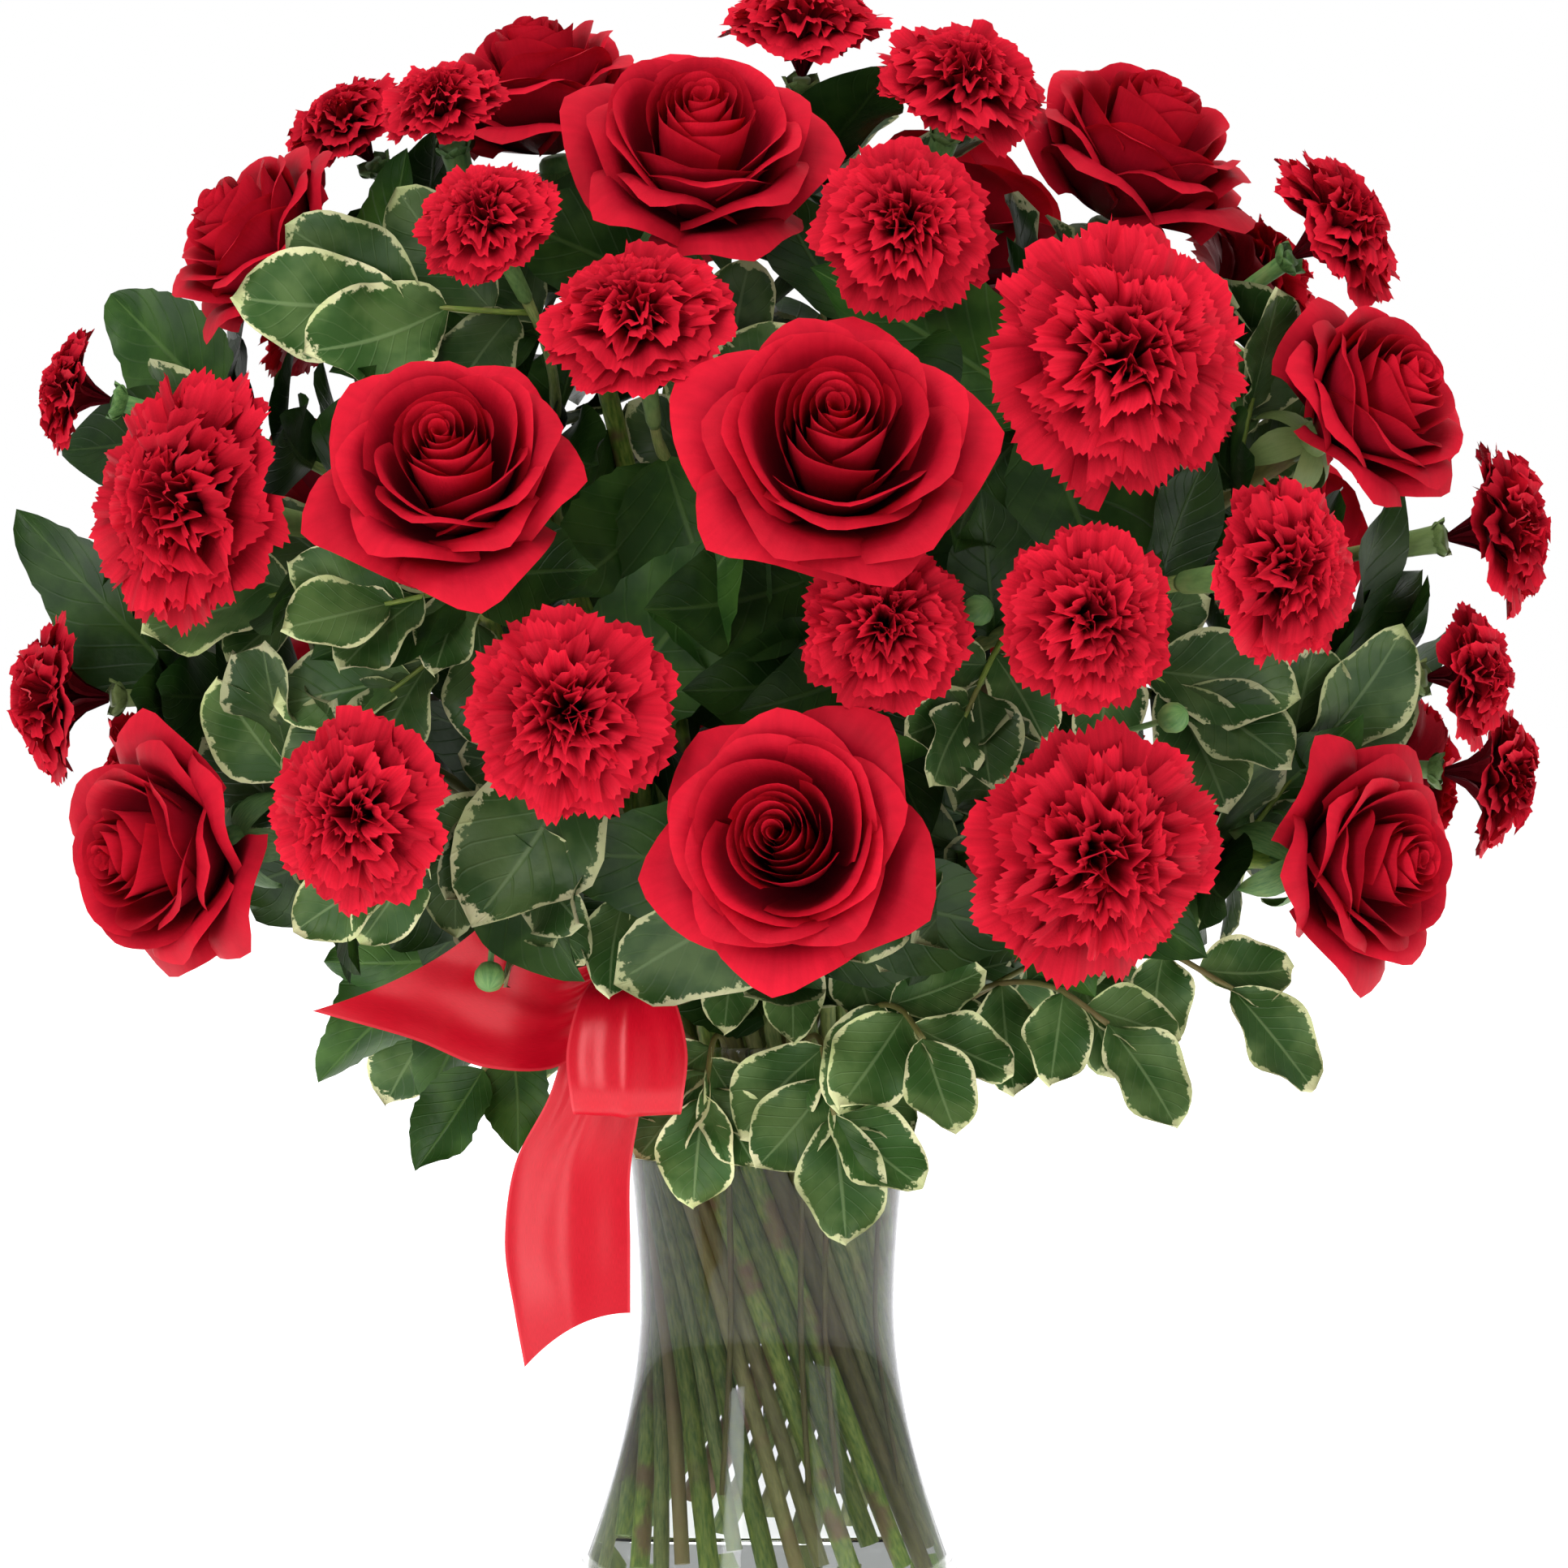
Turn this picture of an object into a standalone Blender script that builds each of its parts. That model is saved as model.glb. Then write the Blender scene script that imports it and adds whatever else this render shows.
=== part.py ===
"""Red roses and carnations in a flared glass vase, with variegated foliage and a satin bow.

The vase stands on Z = 0 with its axis on Z. The viewer of the bouquet looks along +Y.
Tables hold millimetres and degrees; everything that is built is in metres.
"""

import math
import random

import bmesh
import bpy
from mathutils import Matrix, Vector

MM = 0.001
GAP = 0.3 * MM  # running gap between pieces that touch
SEED = 11

# Vase: a round glass that narrows to a waist and flares to its rim and to its foot.
VASE_HEIGHT = 178.0
VASE_WALL = 3.2
VASE_FLOOR = 12.0
WAIST_HEIGHT = 95.0
WAIST_RADIUS = 41.7
RIM_FLARE = 8.8
FOOT_FLARE = 20.0
FLARE_POWER = 1.7
FOOT_HEIGHT = 8.0  # height of the widest place of the foot
FOOT_ROUNDING = 3.5
VASE_STEPS = 24
WATER_LEVEL = 146.0

# Stems: one ring of them leans round the axis, each against its neighbours at the waist.
ROSE_STEM = 6.8
CARNATION_STEM = 5.2
SHOOT_STEM = 3.4
STEM_FOOT_HEIGHT = 13.4
STEM_FOOT_LIFTS = (0.0, 9.0, 3.0, 14.0, 6.0)  # the stems are cut to several lengths
STEM_NECK_HEIGHT = 172.0
STEM_TWIST = 84.0
FOOT_RING_RADIUS = 48.0
NECK_RING_RADIUS = 34.5
CALYX_LENGTH = 24.0
CALYX_WIDTHS = {"rose": 9.0, "carnation": 7.5}
BEND = 0.42  # how far a stem runs straight at each end, as a share of its length
STEM_STEPS = 3
HOLE_CLEARANCE = 0.45

# Heads: kind, place of the centre, width, and the azimuth and elevation that it faces.
# Azimuth 0 faces the viewer and 90 faces +X.
ROSE, CARNATION = "rose", "carnation"
HEADS = (
    ("rose_01", ROSE, (-70, 44, 466), 74, (-40, 72)),
    ("rose_02", ROSE, (-20, -86, 442), 80, (6, 46)),
    ("rose_03", ROSE, (-153, -26, 418), 66, (-68, 36)),
    ("rose_04", ROSE, (-89, -146, 350), 80, (-6, 34)),
    ("rose_05", ROSE, (19, -164, 357), 90, (2, 30)),
    ("rose_06", ROSE, (113, 24, 446), 82, (46, 60)),
    ("rose_07", ROSE, (178, -66, 370), 72, (50, 28)),
    ("rose_08", ROSE, (6, -172, 246), 82, (-10, 14)),
    ("rose_09", ROSE, (-178, -70, 237), 76, (-50, -4)),
    ("rose_10", ROSE, (176, -80, 236), 72, (48, 2)),
    ("rose_11", ROSE, (5, 137, 353), 86, (180, 22)),
    ("rose_12", ROSE, (161, 98, 325), 82, (122, 8)),
    ("rose_13", ROSE, (-151, 98, 325), 82, (-122, 8)),
    ("rose_14", ROSE, (60, 91, 425), 82, (150, 50)),
    ("rose_15", ROSE, (5, 141, 255), 82, (180, -10)),
    ("carnation_01", CARNATION, (-127, 20, 452), 44, (-55, 50)),
    ("carnation_02", CARNATION, (-96, -34, 456), 40, (-25, 58)),
    ("carnation_03", CARNATION, (-80, -96, 420), 44, (-20, 36)),
    ("carnation_04", CARNATION, (11, 24, 482), 52, (5, 70)),
    ("carnation_05", CARNATION, (58, -30, 462), 54, (22, 48)),
    ("carnation_06", CARNATION, (39, -122, 418), 54, (8, 22)),
    ("carnation_07", CARNATION, (-36, -128, 391), 56, (-8, 46)),
    ("carnation_08", CARNATION, (100, -124, 380), 80, (20, 15)),
    ("carnation_09", CARNATION, (170, -10, 421), 54, (62, 32)),
    ("carnation_10", CARNATION, (-207, -14, 372), 38, (-82, 14)),
    ("carnation_11", CARNATION, (-165, -94, 340), 78, (-48, 10)),
    ("carnation_12", CARNATION, (-212, -14, 280), 52, (-74, 0)),
    ("carnation_13", CARNATION, (-115, -138, 253), 58, (-25, 0)),
    ("carnation_14", CARNATION, (-55, -158, 282), 62, (-8, 5)),
    ("carnation_15", CARNATION, (33, -156, 306), 50, (5, 16)),
    ("carnation_16", CARNATION, (90, -156, 309), 55, (20, 5)),
    ("carnation_17", CARNATION, (146, -128, 321), 56, (42, 6)),
    ("carnation_18", CARNATION, (92, -150, 242), 76, (22, -8)),
    ("carnation_19", CARNATION, (219, -14, 331), 54, (75, 10)),
    ("carnation_20", CARNATION, (208, -40, 288), 44, (70, 4)),
    ("carnation_21", CARNATION, (219, 4, 256), 50, (84, -5)),
    ("carnation_22", CARNATION, (80, 138, 319), 70, (151, 10)),
    ("carnation_23", CARNATION, (-70, 138, 319), 70, (-151, 10)),
    ("carnation_24", CARNATION, (196, 68, 250), 62, (104, -10)),
    ("carnation_25", CARNATION, (-188, 54, 246), 62, (-104, -10)),
    ("carnation_26", CARNATION, (-41, 98, 423), 68, (-155, 48)),
    ("carnation_27", CARNATION, (96, 124, 248), 64, (145, -10)),
    ("carnation_28", CARNATION, (-86, 124, 248), 64, (-145, -10)),
    ("carnation_29", CARNATION, (148, 56, 406), 60, (108, 38)),
    ("carnation_30", CARNATION, (-136, 64, 398), 60, (-112, 36)),
)
HEAD_TURN = 137.5  # each head is turned by this much more about its own axis
DOME_CENTRE = (5, 0, 292)

# Carnations on a side shoot: the head whose stem carries the shoot, and how far up it.
SHOOTS = {
    "carnation_01": ("carnation_02", 0.62),
    "carnation_03": ("carnation_02", 0.52),
    "carnation_04": ("carnation_05", 0.62),
    "carnation_07": ("carnation_06", 0.50),
    "carnation_09": ("carnation_29", 0.58),
    "carnation_10": ("carnation_11", 0.48),
    "carnation_12": ("carnation_25", 0.55),
    "carnation_14": ("carnation_13", 0.48),
    "carnation_15": ("carnation_16", 0.50),
    "carnation_20": ("carnation_19", 0.62),
    "carnation_21": ("carnation_19", 0.50),
}

# A rose, in half widths: radius, height and wave of each ridge and groove of the bud.
ROSE_SIDES = 7
ROSE_BUD = (
    (0.15, 0.50, 0.00),
    (0.21, 0.32, 0.00),
    (0.38, 0.44, 0.05),
    (0.43, 0.16, 0.00),
    (0.62, 0.30, 0.06),
    (0.50, -0.22, 0.00),
    (0.13, -0.62, 0.00),
)
ROSE_BASE = 0.62
ROSE_PETALS = 5
# Corners of an outer petal: radius, height, angle from its middle in degrees.
ROSE_PETAL = (
    (0.22, -0.46, -10),
    (0.22, -0.46, 10),
    (0.66, -0.16, 0),
    (0.92, 0.02, -30),
    (0.92, -0.04, 30),
    (1.05, -0.12, 0),
)
ROSE_PETAL_FACES = ((0, 1, 2), (0, 2, 3), (1, 4, 2), (3, 2, 5), (2, 4, 5))
PETAL_THICKNESS = 1.0

# A carnation, in half widths: radius, height and ruffle of each ridge and groove.
CARNATION_SIDES = 10
CARNATION_TIERS = (
    (0.24, 0.56, 0.06),
    (0.34, 0.30, 0.02),
    (0.62, 0.42, 0.09),
    (0.64, 0.10, 0.03),
    (0.97, 0.06, 0.10),
    (0.50, -0.34, 0.00),
    (0.17, -0.60, 0.00),
)
CARNATION_TOP = 0.50
CARNATION_BASE = 0.60

# Leaves: along the midrib, half width at the left and right, rise of the edges and middle.
LEAF_ROWS = (
    (0.36, 0.86, 0.98, 0.16, 0.06, -0.06),
    (0.68, 0.98, 0.80, -0.04, 0.16, -0.04),
)
LEAF_DROOP = 0.10
LEAF_THICKNESS = 0.8

# Leaves on the stems, between the heads: places seen from the front, across and up.
LEAF_SPOTS = (
    (-185, 392), (-212, 311), (-114, 392), (-94, 407), (-124, 338), (-163, 285), (-109, 304),
    (-132, 292), (-151, 236), (-84, 245), (-72, 226), (-40, 343), (-28, 319), (-16, 299),
    (-4, 405), (28, 458), (50, 382), (62, 338), (92, 341), (55, 275), (48, 253), (131, 287),
    (146, 250), (185, 287), (190, 319), (165, 275), (148, 392), (-121, 429), (-60, 419),
    (-18, 216), (36, 220), (130, 218), (-116, 218), (75, 482), (8, 206), (64, 208), (98, 204),
)
LEAF_DEPTH = 118.0
LEAF_STRAY = 40.0  # a spot stays bare where no leaf comes nearer than this
SPOT_TRIES = 2500
MORE_LEAVES = 14
LEAF_LENGTHS = (56.0, 86.0)
LEAF_WIDTH_SHARE = 0.54
LEAF_LOWEST = 196.0
LEAF_TRIES = 90
HEAD_WEIGHT = 1.5
HEAD_CLEARANCE = 2.5
STEM_CLEARANCE = 4.5

# Foliage sprigs over the rim: azimuth, reach of the tip from the axis, height of the tip,
# length of the leaves, number of leaves, and whether the leaves are plain.
SPRIGS = (
    ("sprig_01", -100, 104, 195, 50, 3, True),
    ("sprig_02", -70, 90, 170, 37, 3, True),
    ("sprig_03", -17, 63, 165, 33, 5, False),
    ("sprig_04", 16, 72, 160, 37, 5, False),
    ("sprig_05", 28, 97, 184, 36, 5, False),
    ("sprig_06", 60, 116, 186, 37, 5, False),
    ("sprig_07", 78, 142, 194, 38, 5, False),
    ("sprig_08", 120, 112, 186, 40, 5, False),
    ("sprig_09", 180, 100, 176, 40, 5, False),
    ("sprig_10", -120, 112, 184, 40, 5, False),
)
SPRIG_LEAF_SHARE = 0.68
TWIG_WIDTH = 1.8
TWIG_RISE = ((44.9, 44.0), (37.2, 82.0), (35.6, 104.0), (38.5, 150.0), (43.0, 176.5))
TWIG_OVER_RIM = (49.0, 181.5)
TWIG_STEPS = 3

# Buds that hang from a stem: the head whose stem carries it, and the place of the bud.
BUDS = (
    ("carnation_13", 0.72, (-80, -97, 203)),
    ("carnation_18", 0.80, (116, -122, 279)),
    ("carnation_15", 0.86, (60, -136, 310)),
)
BUD_WIDTH = 9.0
BUD_STALK = 1.6

# Bow: a satin ribbon 38 mm wide on a wired pick that stands inside the rim.
RIBBON_THICKNESS = 0.8
KNOT_PLACE = (-40, -70, 203)
KNOT_SIZE = (9, 8, 9)
# Each pair is the two edges of the ribbon at one place along it.
LOOP = (
    ((-46, -72, 205), (-35, -72, 205)),
    ((-54, -84, 196), (-27, -84, 196)),
    ((-58, -90, 181), (-23, -90, 181)),
    ((-57, -88, 168), (-24, -88, 168)),
    ((-56, -82, 162), (-25, -82, 162)),
    ((-56, -77, 166), (-26, -77, 166)),
    ((-54, -75, 186), (-28, -75, 186)),
    ((-45, -70, 201), (-36, -70, 201)),
)
SIDE_TAIL = (
    ((-42, -70, 208), (-42, -69, 199)),
    ((-60, -71, 203), (-58, -69, 176)),
    ((-71, -78, 210), (-81, -80, 175)),
    ((-84, -82, 216), (-103, -86, 184)),
)
SIDE_TIP = (-132, -84, 192)
HANGING_TAIL = (
    ((-46, -67, 202), (-36, -67, 202)),
    ((-57, -64, 186), (-35, -64, 186)),
    ((-64, -63, 165), (-37, -64, 163)),
    ((-74, -62, 145), (-40, -65, 143)),
    ((-77, -64, 122), (-40, -68, 122)),
    ((-74, -68, 102), (-40, -70, 102)),
)
HANGING_TIP = (-71, -70, 86)
PICK_WIDTH = 1.8
PICK_AZIMUTH = -30


def flare(height):
    """Outer radius of the glass at a height, both in millimetres."""
    above = max(0.0, height - WAIST_HEIGHT) / (VASE_HEIGHT - WAIST_HEIGHT)
    below = max(0.0, WAIST_HEIGHT - height) / (WAIST_HEIGHT - FOOT_HEIGHT)
    return WAIST_RADIUS + RIM_FLARE * above**FLARE_POWER + FOOT_FLARE * below**FLARE_POWER


def direction(azimuth, elevation):
    a, e = math.radians(azimuth), math.radians(elevation)
    return Vector((math.sin(a) * math.cos(e), -math.cos(a) * math.cos(e), math.sin(e)))


def around(radius, azimuth, height):
    """A point in metres from millimetres and degrees, azimuth 0 towards the viewer."""
    out = direction(azimuth, 0) * radius
    return Vector((out.x, out.y, height)) * MM


def aimed(axis, turn):
    """Rotation that puts +Z on the axis, turned about it."""
    return axis.to_track_quat("Z", "Y").to_matrix().to_4x4() @ Matrix.Rotation(turn, 4, "Z")


def material(name, colour, roughness, alpha=1.0):
    made = bpy.data.materials.new(name)
    made.use_nodes = True
    shader = made.node_tree.nodes["Principled BSDF"]
    shader.inputs["Base Color"].default_value = (*colour, 1.0)
    shader.inputs["Roughness"].default_value = roughness
    shader.inputs["Alpha"].default_value = alpha
    return made


def mesh_object(name, mesh, finish):
    made = bpy.data.objects.new(name, mesh)
    made.data.materials.clear()
    made.data.materials.append(finish)
    bpy.context.scene.collection.objects.link(made)
    return made


def mesh_of(points, faces):
    mesh = bpy.data.meshes.new("piece")
    mesh.from_pydata([tuple(p) for p in points], [], faces)
    mesh.update()
    return mesh


def ringed(rings, top, bottom):
    """Closed solid through rings of points, from the top point to the bottom point."""
    count = len(rings[0])
    points = [top, *[p for ring in rings for p in ring], bottom]
    last = len(points) - 1
    faces = [(0, 1 + i, 1 + (i + 1) % count) for i in range(count)]
    for r in range(len(rings) - 1):
        upper, lower = 1 + r * count, 1 + (r + 1) * count
        for i in range(count):
            j = (i + 1) % count
            faces.append((upper + i, lower + i, lower + j))
            faces.append((upper + i, lower + j, upper + j))
    base = 1 + (len(rings) - 1) * count
    faces += [(base + (i + 1) % count, base + i, last) for i in range(count)]
    return mesh_of(points, faces)


def plate(points, triangles, thickness):
    """Closed blade from one triangulated face, thickened to both sides alike."""
    normals = [Vector() for _ in points]
    for a, b, c in triangles:
        normal = (points[b] - points[a]).cross(points[c] - points[a])
        for corner in (a, b, c):
            normals[corner] += normal
    half = [n.normalized() * (thickness / 2) for n in normals]
    count = len(points)
    both = [p + h for p, h in zip(points, half)] + [p - h for p, h in zip(points, half)]
    faces = list(triangles) + [(c + count, b + count, a + count) for a, b, c in triangles]
    edges = {(t[i], t[(i + 1) % 3]) for t in triangles for i in range(3)}
    for a, b in sorted(edges):
        if (b, a) not in edges:
            faces.append((a, a + count, b + count))
            faces.append((a, b + count, b))
    return mesh_of(both, faces)


def grid_triangles(rows, columns):
    """Triangles of a grid of points stored row by row."""
    found = []
    for r in range(rows - 1):
        for c in range(columns - 1):
            low, high = r * columns + c, (r + 1) * columns + c
            found.append((low, low + 1, high + 1))
            found.append((low, high + 1, high))
    return found


def tube(points, radii, resolution=0):
    """Closed tube along the points; resolution 0 has four sides."""
    curve = bpy.data.curves.new("tube", "CURVE")
    curve.dimensions = "3D"
    curve.bevel_depth = 1.0
    curve.bevel_resolution = resolution
    curve.use_fill_caps = True
    spline = curve.splines.new("POLY")
    spline.points.add(len(points) - 1)
    for place, point, radius in zip(spline.points, points, radii):
        place.co = (*point, 1.0)
        place.radius = radius
    holder = bpy.data.objects.new("tube", curve)
    mesh = bpy.data.meshes.new_from_object(holder)
    bpy.data.objects.remove(holder)
    bpy.data.curves.remove(curve)
    work = bmesh.new()
    work.from_mesh(mesh)
    bmesh.ops.remove_doubles(work, verts=work.verts, dist=1e-6)
    bmesh.ops.triangulate(work, faces=work.faces)
    work.to_mesh(mesh)
    work.free()
    return mesh


def joined(name, meshes, finish, operation="UNION", solver="EXACT"):
    """One object from the first mesh and a Boolean with all the others."""
    body = mesh_object(name, meshes[0], finish)
    if len(meshes) == 1:
        return body
    others = bpy.data.collections.new(name + "_parts")
    for i, mesh in enumerate(meshes[1:]):
        others.objects.link(bpy.data.objects.new(f"{name}_part_{i}", mesh))
    bpy.context.scene.collection.children.link(others)
    step = body.modifiers.new("join", "BOOLEAN")
    step.operation = operation
    step.solver = solver
    step.operand_type = "COLLECTION"
    step.collection = others
    graph = bpy.context.evaluated_depsgraph_get()
    result = bpy.data.meshes.new_from_object(body.evaluated_get(graph))
    body.modifiers.clear()
    body.data = result
    for piece in list(others.objects):
        bpy.data.objects.remove(piece)
    bpy.data.collections.remove(others)
    return body


def turned(name, outline, finish):
    """Solid of revolution; the outline runs down its outer side, from axis to axis."""
    mesh = mesh_of([Vector((r * MM, 0, z * MM)) for r, z in outline], [])
    work = bmesh.new()
    work.from_mesh(mesh)
    work.verts.ensure_lookup_table()
    for a, b in zip(work.verts[:-1], work.verts[1:]):
        work.edges.new((a, b))
    work.to_mesh(mesh)
    work.free()
    body = mesh_object(name, mesh, finish)
    screw = body.modifiers.new("turn", "SCREW")
    screw.steps = VASE_STEPS
    screw.render_steps = VASE_STEPS
    screw.use_merge_vertices = True
    screw.merge_threshold = 0.0001
    return body


def vase(finish):
    heights = (VASE_HEIGHT, 150.0, 123.0, WAIST_HEIGHT, 70.0, 47.0, 26.0, FOOT_HEIGHT)
    foot = (flare(FOOT_HEIGHT) - FOOT_ROUNDING, 0.0)
    outer = [(flare(z), z) for z in heights] + [foot, (0.0, 0.0)]
    inner_heights = (VASE_FLOOR, *heights[-2::-1])
    inner = [(0.0, VASE_FLOOR)] + [(flare(z) - VASE_WALL, z) for z in inner_heights]
    return turned("vase", inner + outer, finish)


def water(finish, stems, twigs):
    """Water inside the glass, with a plain hole round each stem."""
    gap = GAP / MM
    low = VASE_FLOOR + gap
    heights = (WATER_LEVEL, 123.0, WAIST_HEIGHT, 70.0, 47.0, 26.0, low)
    side = [(flare(z) - VASE_WALL - gap, z) for z in heights]
    body = turned("water", [(0.0, WATER_LEVEL), *side, (0.0, low)], finish)
    graph = bpy.context.evaluated_depsgraph_get()
    solid = bpy.data.meshes.new_from_object(body.evaluated_get(graph))
    bpy.data.objects.remove(body)
    clearance = HOLE_CLEARANCE * MM
    holes = []
    for radius, foot, handles, top, kind in stems:
        if foot is None:
            continue
        along = (handles[0] - foot).normalized()
        down = 3 * MM if foot.z < (STEM_FOOT_HEIGHT + 1) * MM else clearance
        above = foot + along * ((WATER_LEVEL + 4) * MM - foot.z) / along.z
        holes.append(tube([foot - along * down, above], [radius + clearance] * 2))
    for points in twigs:
        along = (points[1] - points[0]).normalized()
        path = [points[0] - along * clearance, *points[1:len(TWIG_RISE)]]
        holes.append(tube(path, [TWIG_WIDTH / 2 * MM + clearance] * len(path)))
    return joined("water", [solid, *holes], finish, "DIFFERENCE", "MANIFOLD")


def head_frames():
    """For each head: its centre, half width and rotation, in metres."""
    found = {}
    for i, (name, kind, place, width, (azimuth, elevation)) in enumerate(HEADS):
        axis = direction(azimuth, elevation)
        turn = math.radians(HEAD_TURN * i)
        found[name] = (Vector(place) * MM, width / 2 * MM, aimed(axis, turn), axis, kind)
    return found


def rings_of(tiers, sides, waves, lift):
    """Rings whose radius and height wave round the axis, every other ring in step."""
    rings = []
    for level, (radius, height, wave) in enumerate(tiers):
        ring = []
        for i in range(sides):
            angle = 2 * math.pi * i / sides
            swing = math.cos(waves * angle + level * 1.3) * wave
            ring.append(Vector((
                (radius + swing) * math.cos(angle),
                (radius + swing) * math.sin(angle),
                height - lift * swing,
            )))
        rings.append(ring)
    return rings


def placed(mesh, centre, half, rotation):
    mesh.transform(Matrix.Translation(centre) @ rotation @ Matrix.Scale(half, 4))
    return mesh


def rose(name, centre, half, rotation, finish):
    """A ridged bud with a ring of pointed outer petals sunk in its flank."""
    rings = rings_of(ROSE_BUD, ROSE_SIDES, 3, 0.8)
    bud = ringed(rings, Vector((0, 0, ROSE_BUD[0][1] - 0.06)), Vector((0, 0, -ROSE_BASE)))
    meshes = [placed(bud, centre, half, rotation)]
    for k in range(ROSE_PETALS):
        middle = 360 * k / ROSE_PETALS
        points = []
        for radius, height, turn in ROSE_PETAL:
            angle = math.radians(middle + turn)
            points.append(Vector((radius * math.cos(angle), radius * math.sin(angle), height)))
        petal = plate(points, ROSE_PETAL_FACES, PETAL_THICKNESS * MM / half)
        meshes.append(placed(petal, centre, half, rotation))
    return joined(name, meshes, finish)


def carnation(name, centre, half, rotation, finish):
    """Tiers of ruffled petals raised from one surface."""
    rings = rings_of(CARNATION_TIERS, CARNATION_SIDES, CARNATION_SIDES / 2, 0.9)
    head = ringed(rings, Vector((0, 0, CARNATION_TOP)), Vector((0, 0, -CARNATION_BASE)))
    return joined(name, [placed(head, centre, half, rotation)], finish)


def bezier(a, b, c, d, t):
    s = 1 - t
    return a * s**3 + b * 3 * s * s * t + c * 3 * s * t * t + d * t**3


def handles_to(head, start, leave):
    """Four handles of the bend from a start to a head, and the end of the stem there."""
    centre, half, rotation, axis, kind = head
    base_share = ROSE_BASE if kind == ROSE else CARNATION_BASE
    top = centre - axis * (half * base_share + GAP)
    calyx = top - axis * CALYX_LENGTH * MM
    reach = (calyx - start).length * BEND
    return (start, start + leave * reach, calyx - axis * reach, calyx), top


def stem_routes(frames):
    """For each head, in order round the axis: stem width, foot, handles, end and kind."""
    widths = {ROSE: ROSE_STEM, CARNATION: CARNATION_STEM}
    names = [n for n in frames if n not in SHOOTS]
    names.sort(key=lambda n: math.atan2(frames[n][0].x, -frames[n][0].y))
    total = sum(widths[frames[n][4]] for n in names)
    routes, used = {}, 0.0
    for i, name in enumerate(names):
        kind = frames[name][4]
        width = widths[kind]
        azimuth = 360 * (used + width / 2) / total - 180
        used += width
        low = STEM_FOOT_HEIGHT + STEM_FOOT_LIFTS[i % len(STEM_FOOT_LIFTS)]
        foot = around(FOOT_RING_RADIUS, azimuth + STEM_TWIST, STEM_FOOT_HEIGHT)
        neck = around(NECK_RING_RADIUS, azimuth, STEM_NECK_HEIGHT)
        foot = foot.lerp(neck, (low * MM - foot.z) / (neck.z - foot.z))
        handles, top = handles_to(frames[name], neck, (neck - foot).normalized())
        routes[name] = (width / 2 * MM, foot, handles, top, kind)
    for name, (carrier, share) in SHOOTS.items():
        start, along = on_bend(routes[carrier], share)
        handles, top = handles_to(frames[name], start, along)
        routes[name] = (SHOOT_STEM / 2 * MM, None, handles, top, frames[name][4])
    return routes


def bend_of(route):
    return [bezier(*route[2], i / STEM_STEPS) for i in range(STEM_STEPS + 1)]


def on_bend(route, share):
    """Point and direction on the axis of the stem as it is built, above the neck."""
    points = bend_of(route)
    step = min(int(share * STEM_STEPS), STEM_STEPS - 1)
    along = (points[step + 1] - points[step]).normalized()
    return points[step].lerp(points[step + 1], share * STEM_STEPS - step), along


def stem_mesh(route):
    radius, foot, handles, top, kind = route
    points = [foot] * (foot is not None) + [*bend_of(route), top]
    radii = [radius] * (len(points) - 1) + [CALYX_WIDTHS[kind] / 2 * MM]
    return tube(points, radii)


def leaf(root, axis, up, length, width):
    """A blade folded along its midrib, with a waved edge and a drooping tip."""
    axis = axis.normalized()
    side = axis.cross(up).normalized()
    up = side.cross(axis)
    points = [root]
    for along, left, right, left_rise, right_rise, middle_rise in LEAF_ROWS:
        spine = root + axis * (along * length) - up * (LEAF_DROOP * along**2 * length)
        points.append(spine - side * (left * width / 2) + up * (left_rise * width))
        points.append(spine + up * (middle_rise * width))
        points.append(spine + side * (right * width / 2) + up * (right_rise * width))
    points.append(root + axis * length - up * (LEAF_DROOP * length))
    faces = ((0, 2, 1), (0, 3, 2), (1, 2, 5), (1, 5, 4), (2, 3, 6), (2, 6, 5), (4, 5, 7), (5, 6, 7))
    return plate(points, faces, LEAF_THICKNESS * MM)


def clear_of_heads(points, frames, room):
    """Whether the points stay outside a plump cone round each head."""
    for centre, half, rotation, axis, kind in frames.values():
        for point in points:
            away = point - centre
            ahead = away.dot(axis)
            beside = (away - axis * ahead).length
            if -0.9 * half - room < ahead < 0.7 * half + room:
                lean = min(1.0, (ahead + 0.9 * half) / (0.9 * half))
                if beside < half * (0.25 + 0.83 * lean) + room:
                    return False
    return True


def clear_of_stems(points, routes, own, room):
    """Whether the points stay away from every stem but their own."""
    for name, route in routes.items():
        if name == own:
            continue
        bend = bend_of(route)
        for a, b in zip(bend[:-1], bend[1:]):
            along = b - a
            for point in points:
                share = min(1.0, max(0.0, (point - a).dot(along) / along.length_squared))
                if (point - a - along * share).length < room:
                    return False
    return True


def leaf_trial(chance, routes, towards):
    """A random leaf on a stem, lying along the dome: its middle and what builds it."""
    name = chance.choice(sorted(routes))
    root, along = on_bend(routes[name], chance.uniform(0.25, 0.98))
    out = ((root - Vector(DOME_CENTRE) * MM).normalized() + towards).normalized()
    across = out.orthogonal().normalized()
    across.rotate(Matrix.Rotation(chance.uniform(0, 2 * math.pi), 3, out))
    axis = (across + out * chance.uniform(-0.2, 0.6) + along * 0.3).normalized()
    length = chance.uniform(*LEAF_LENGTHS) * MM
    return root + axis * (length / 2), (name, root, axis, out, length)


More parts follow.
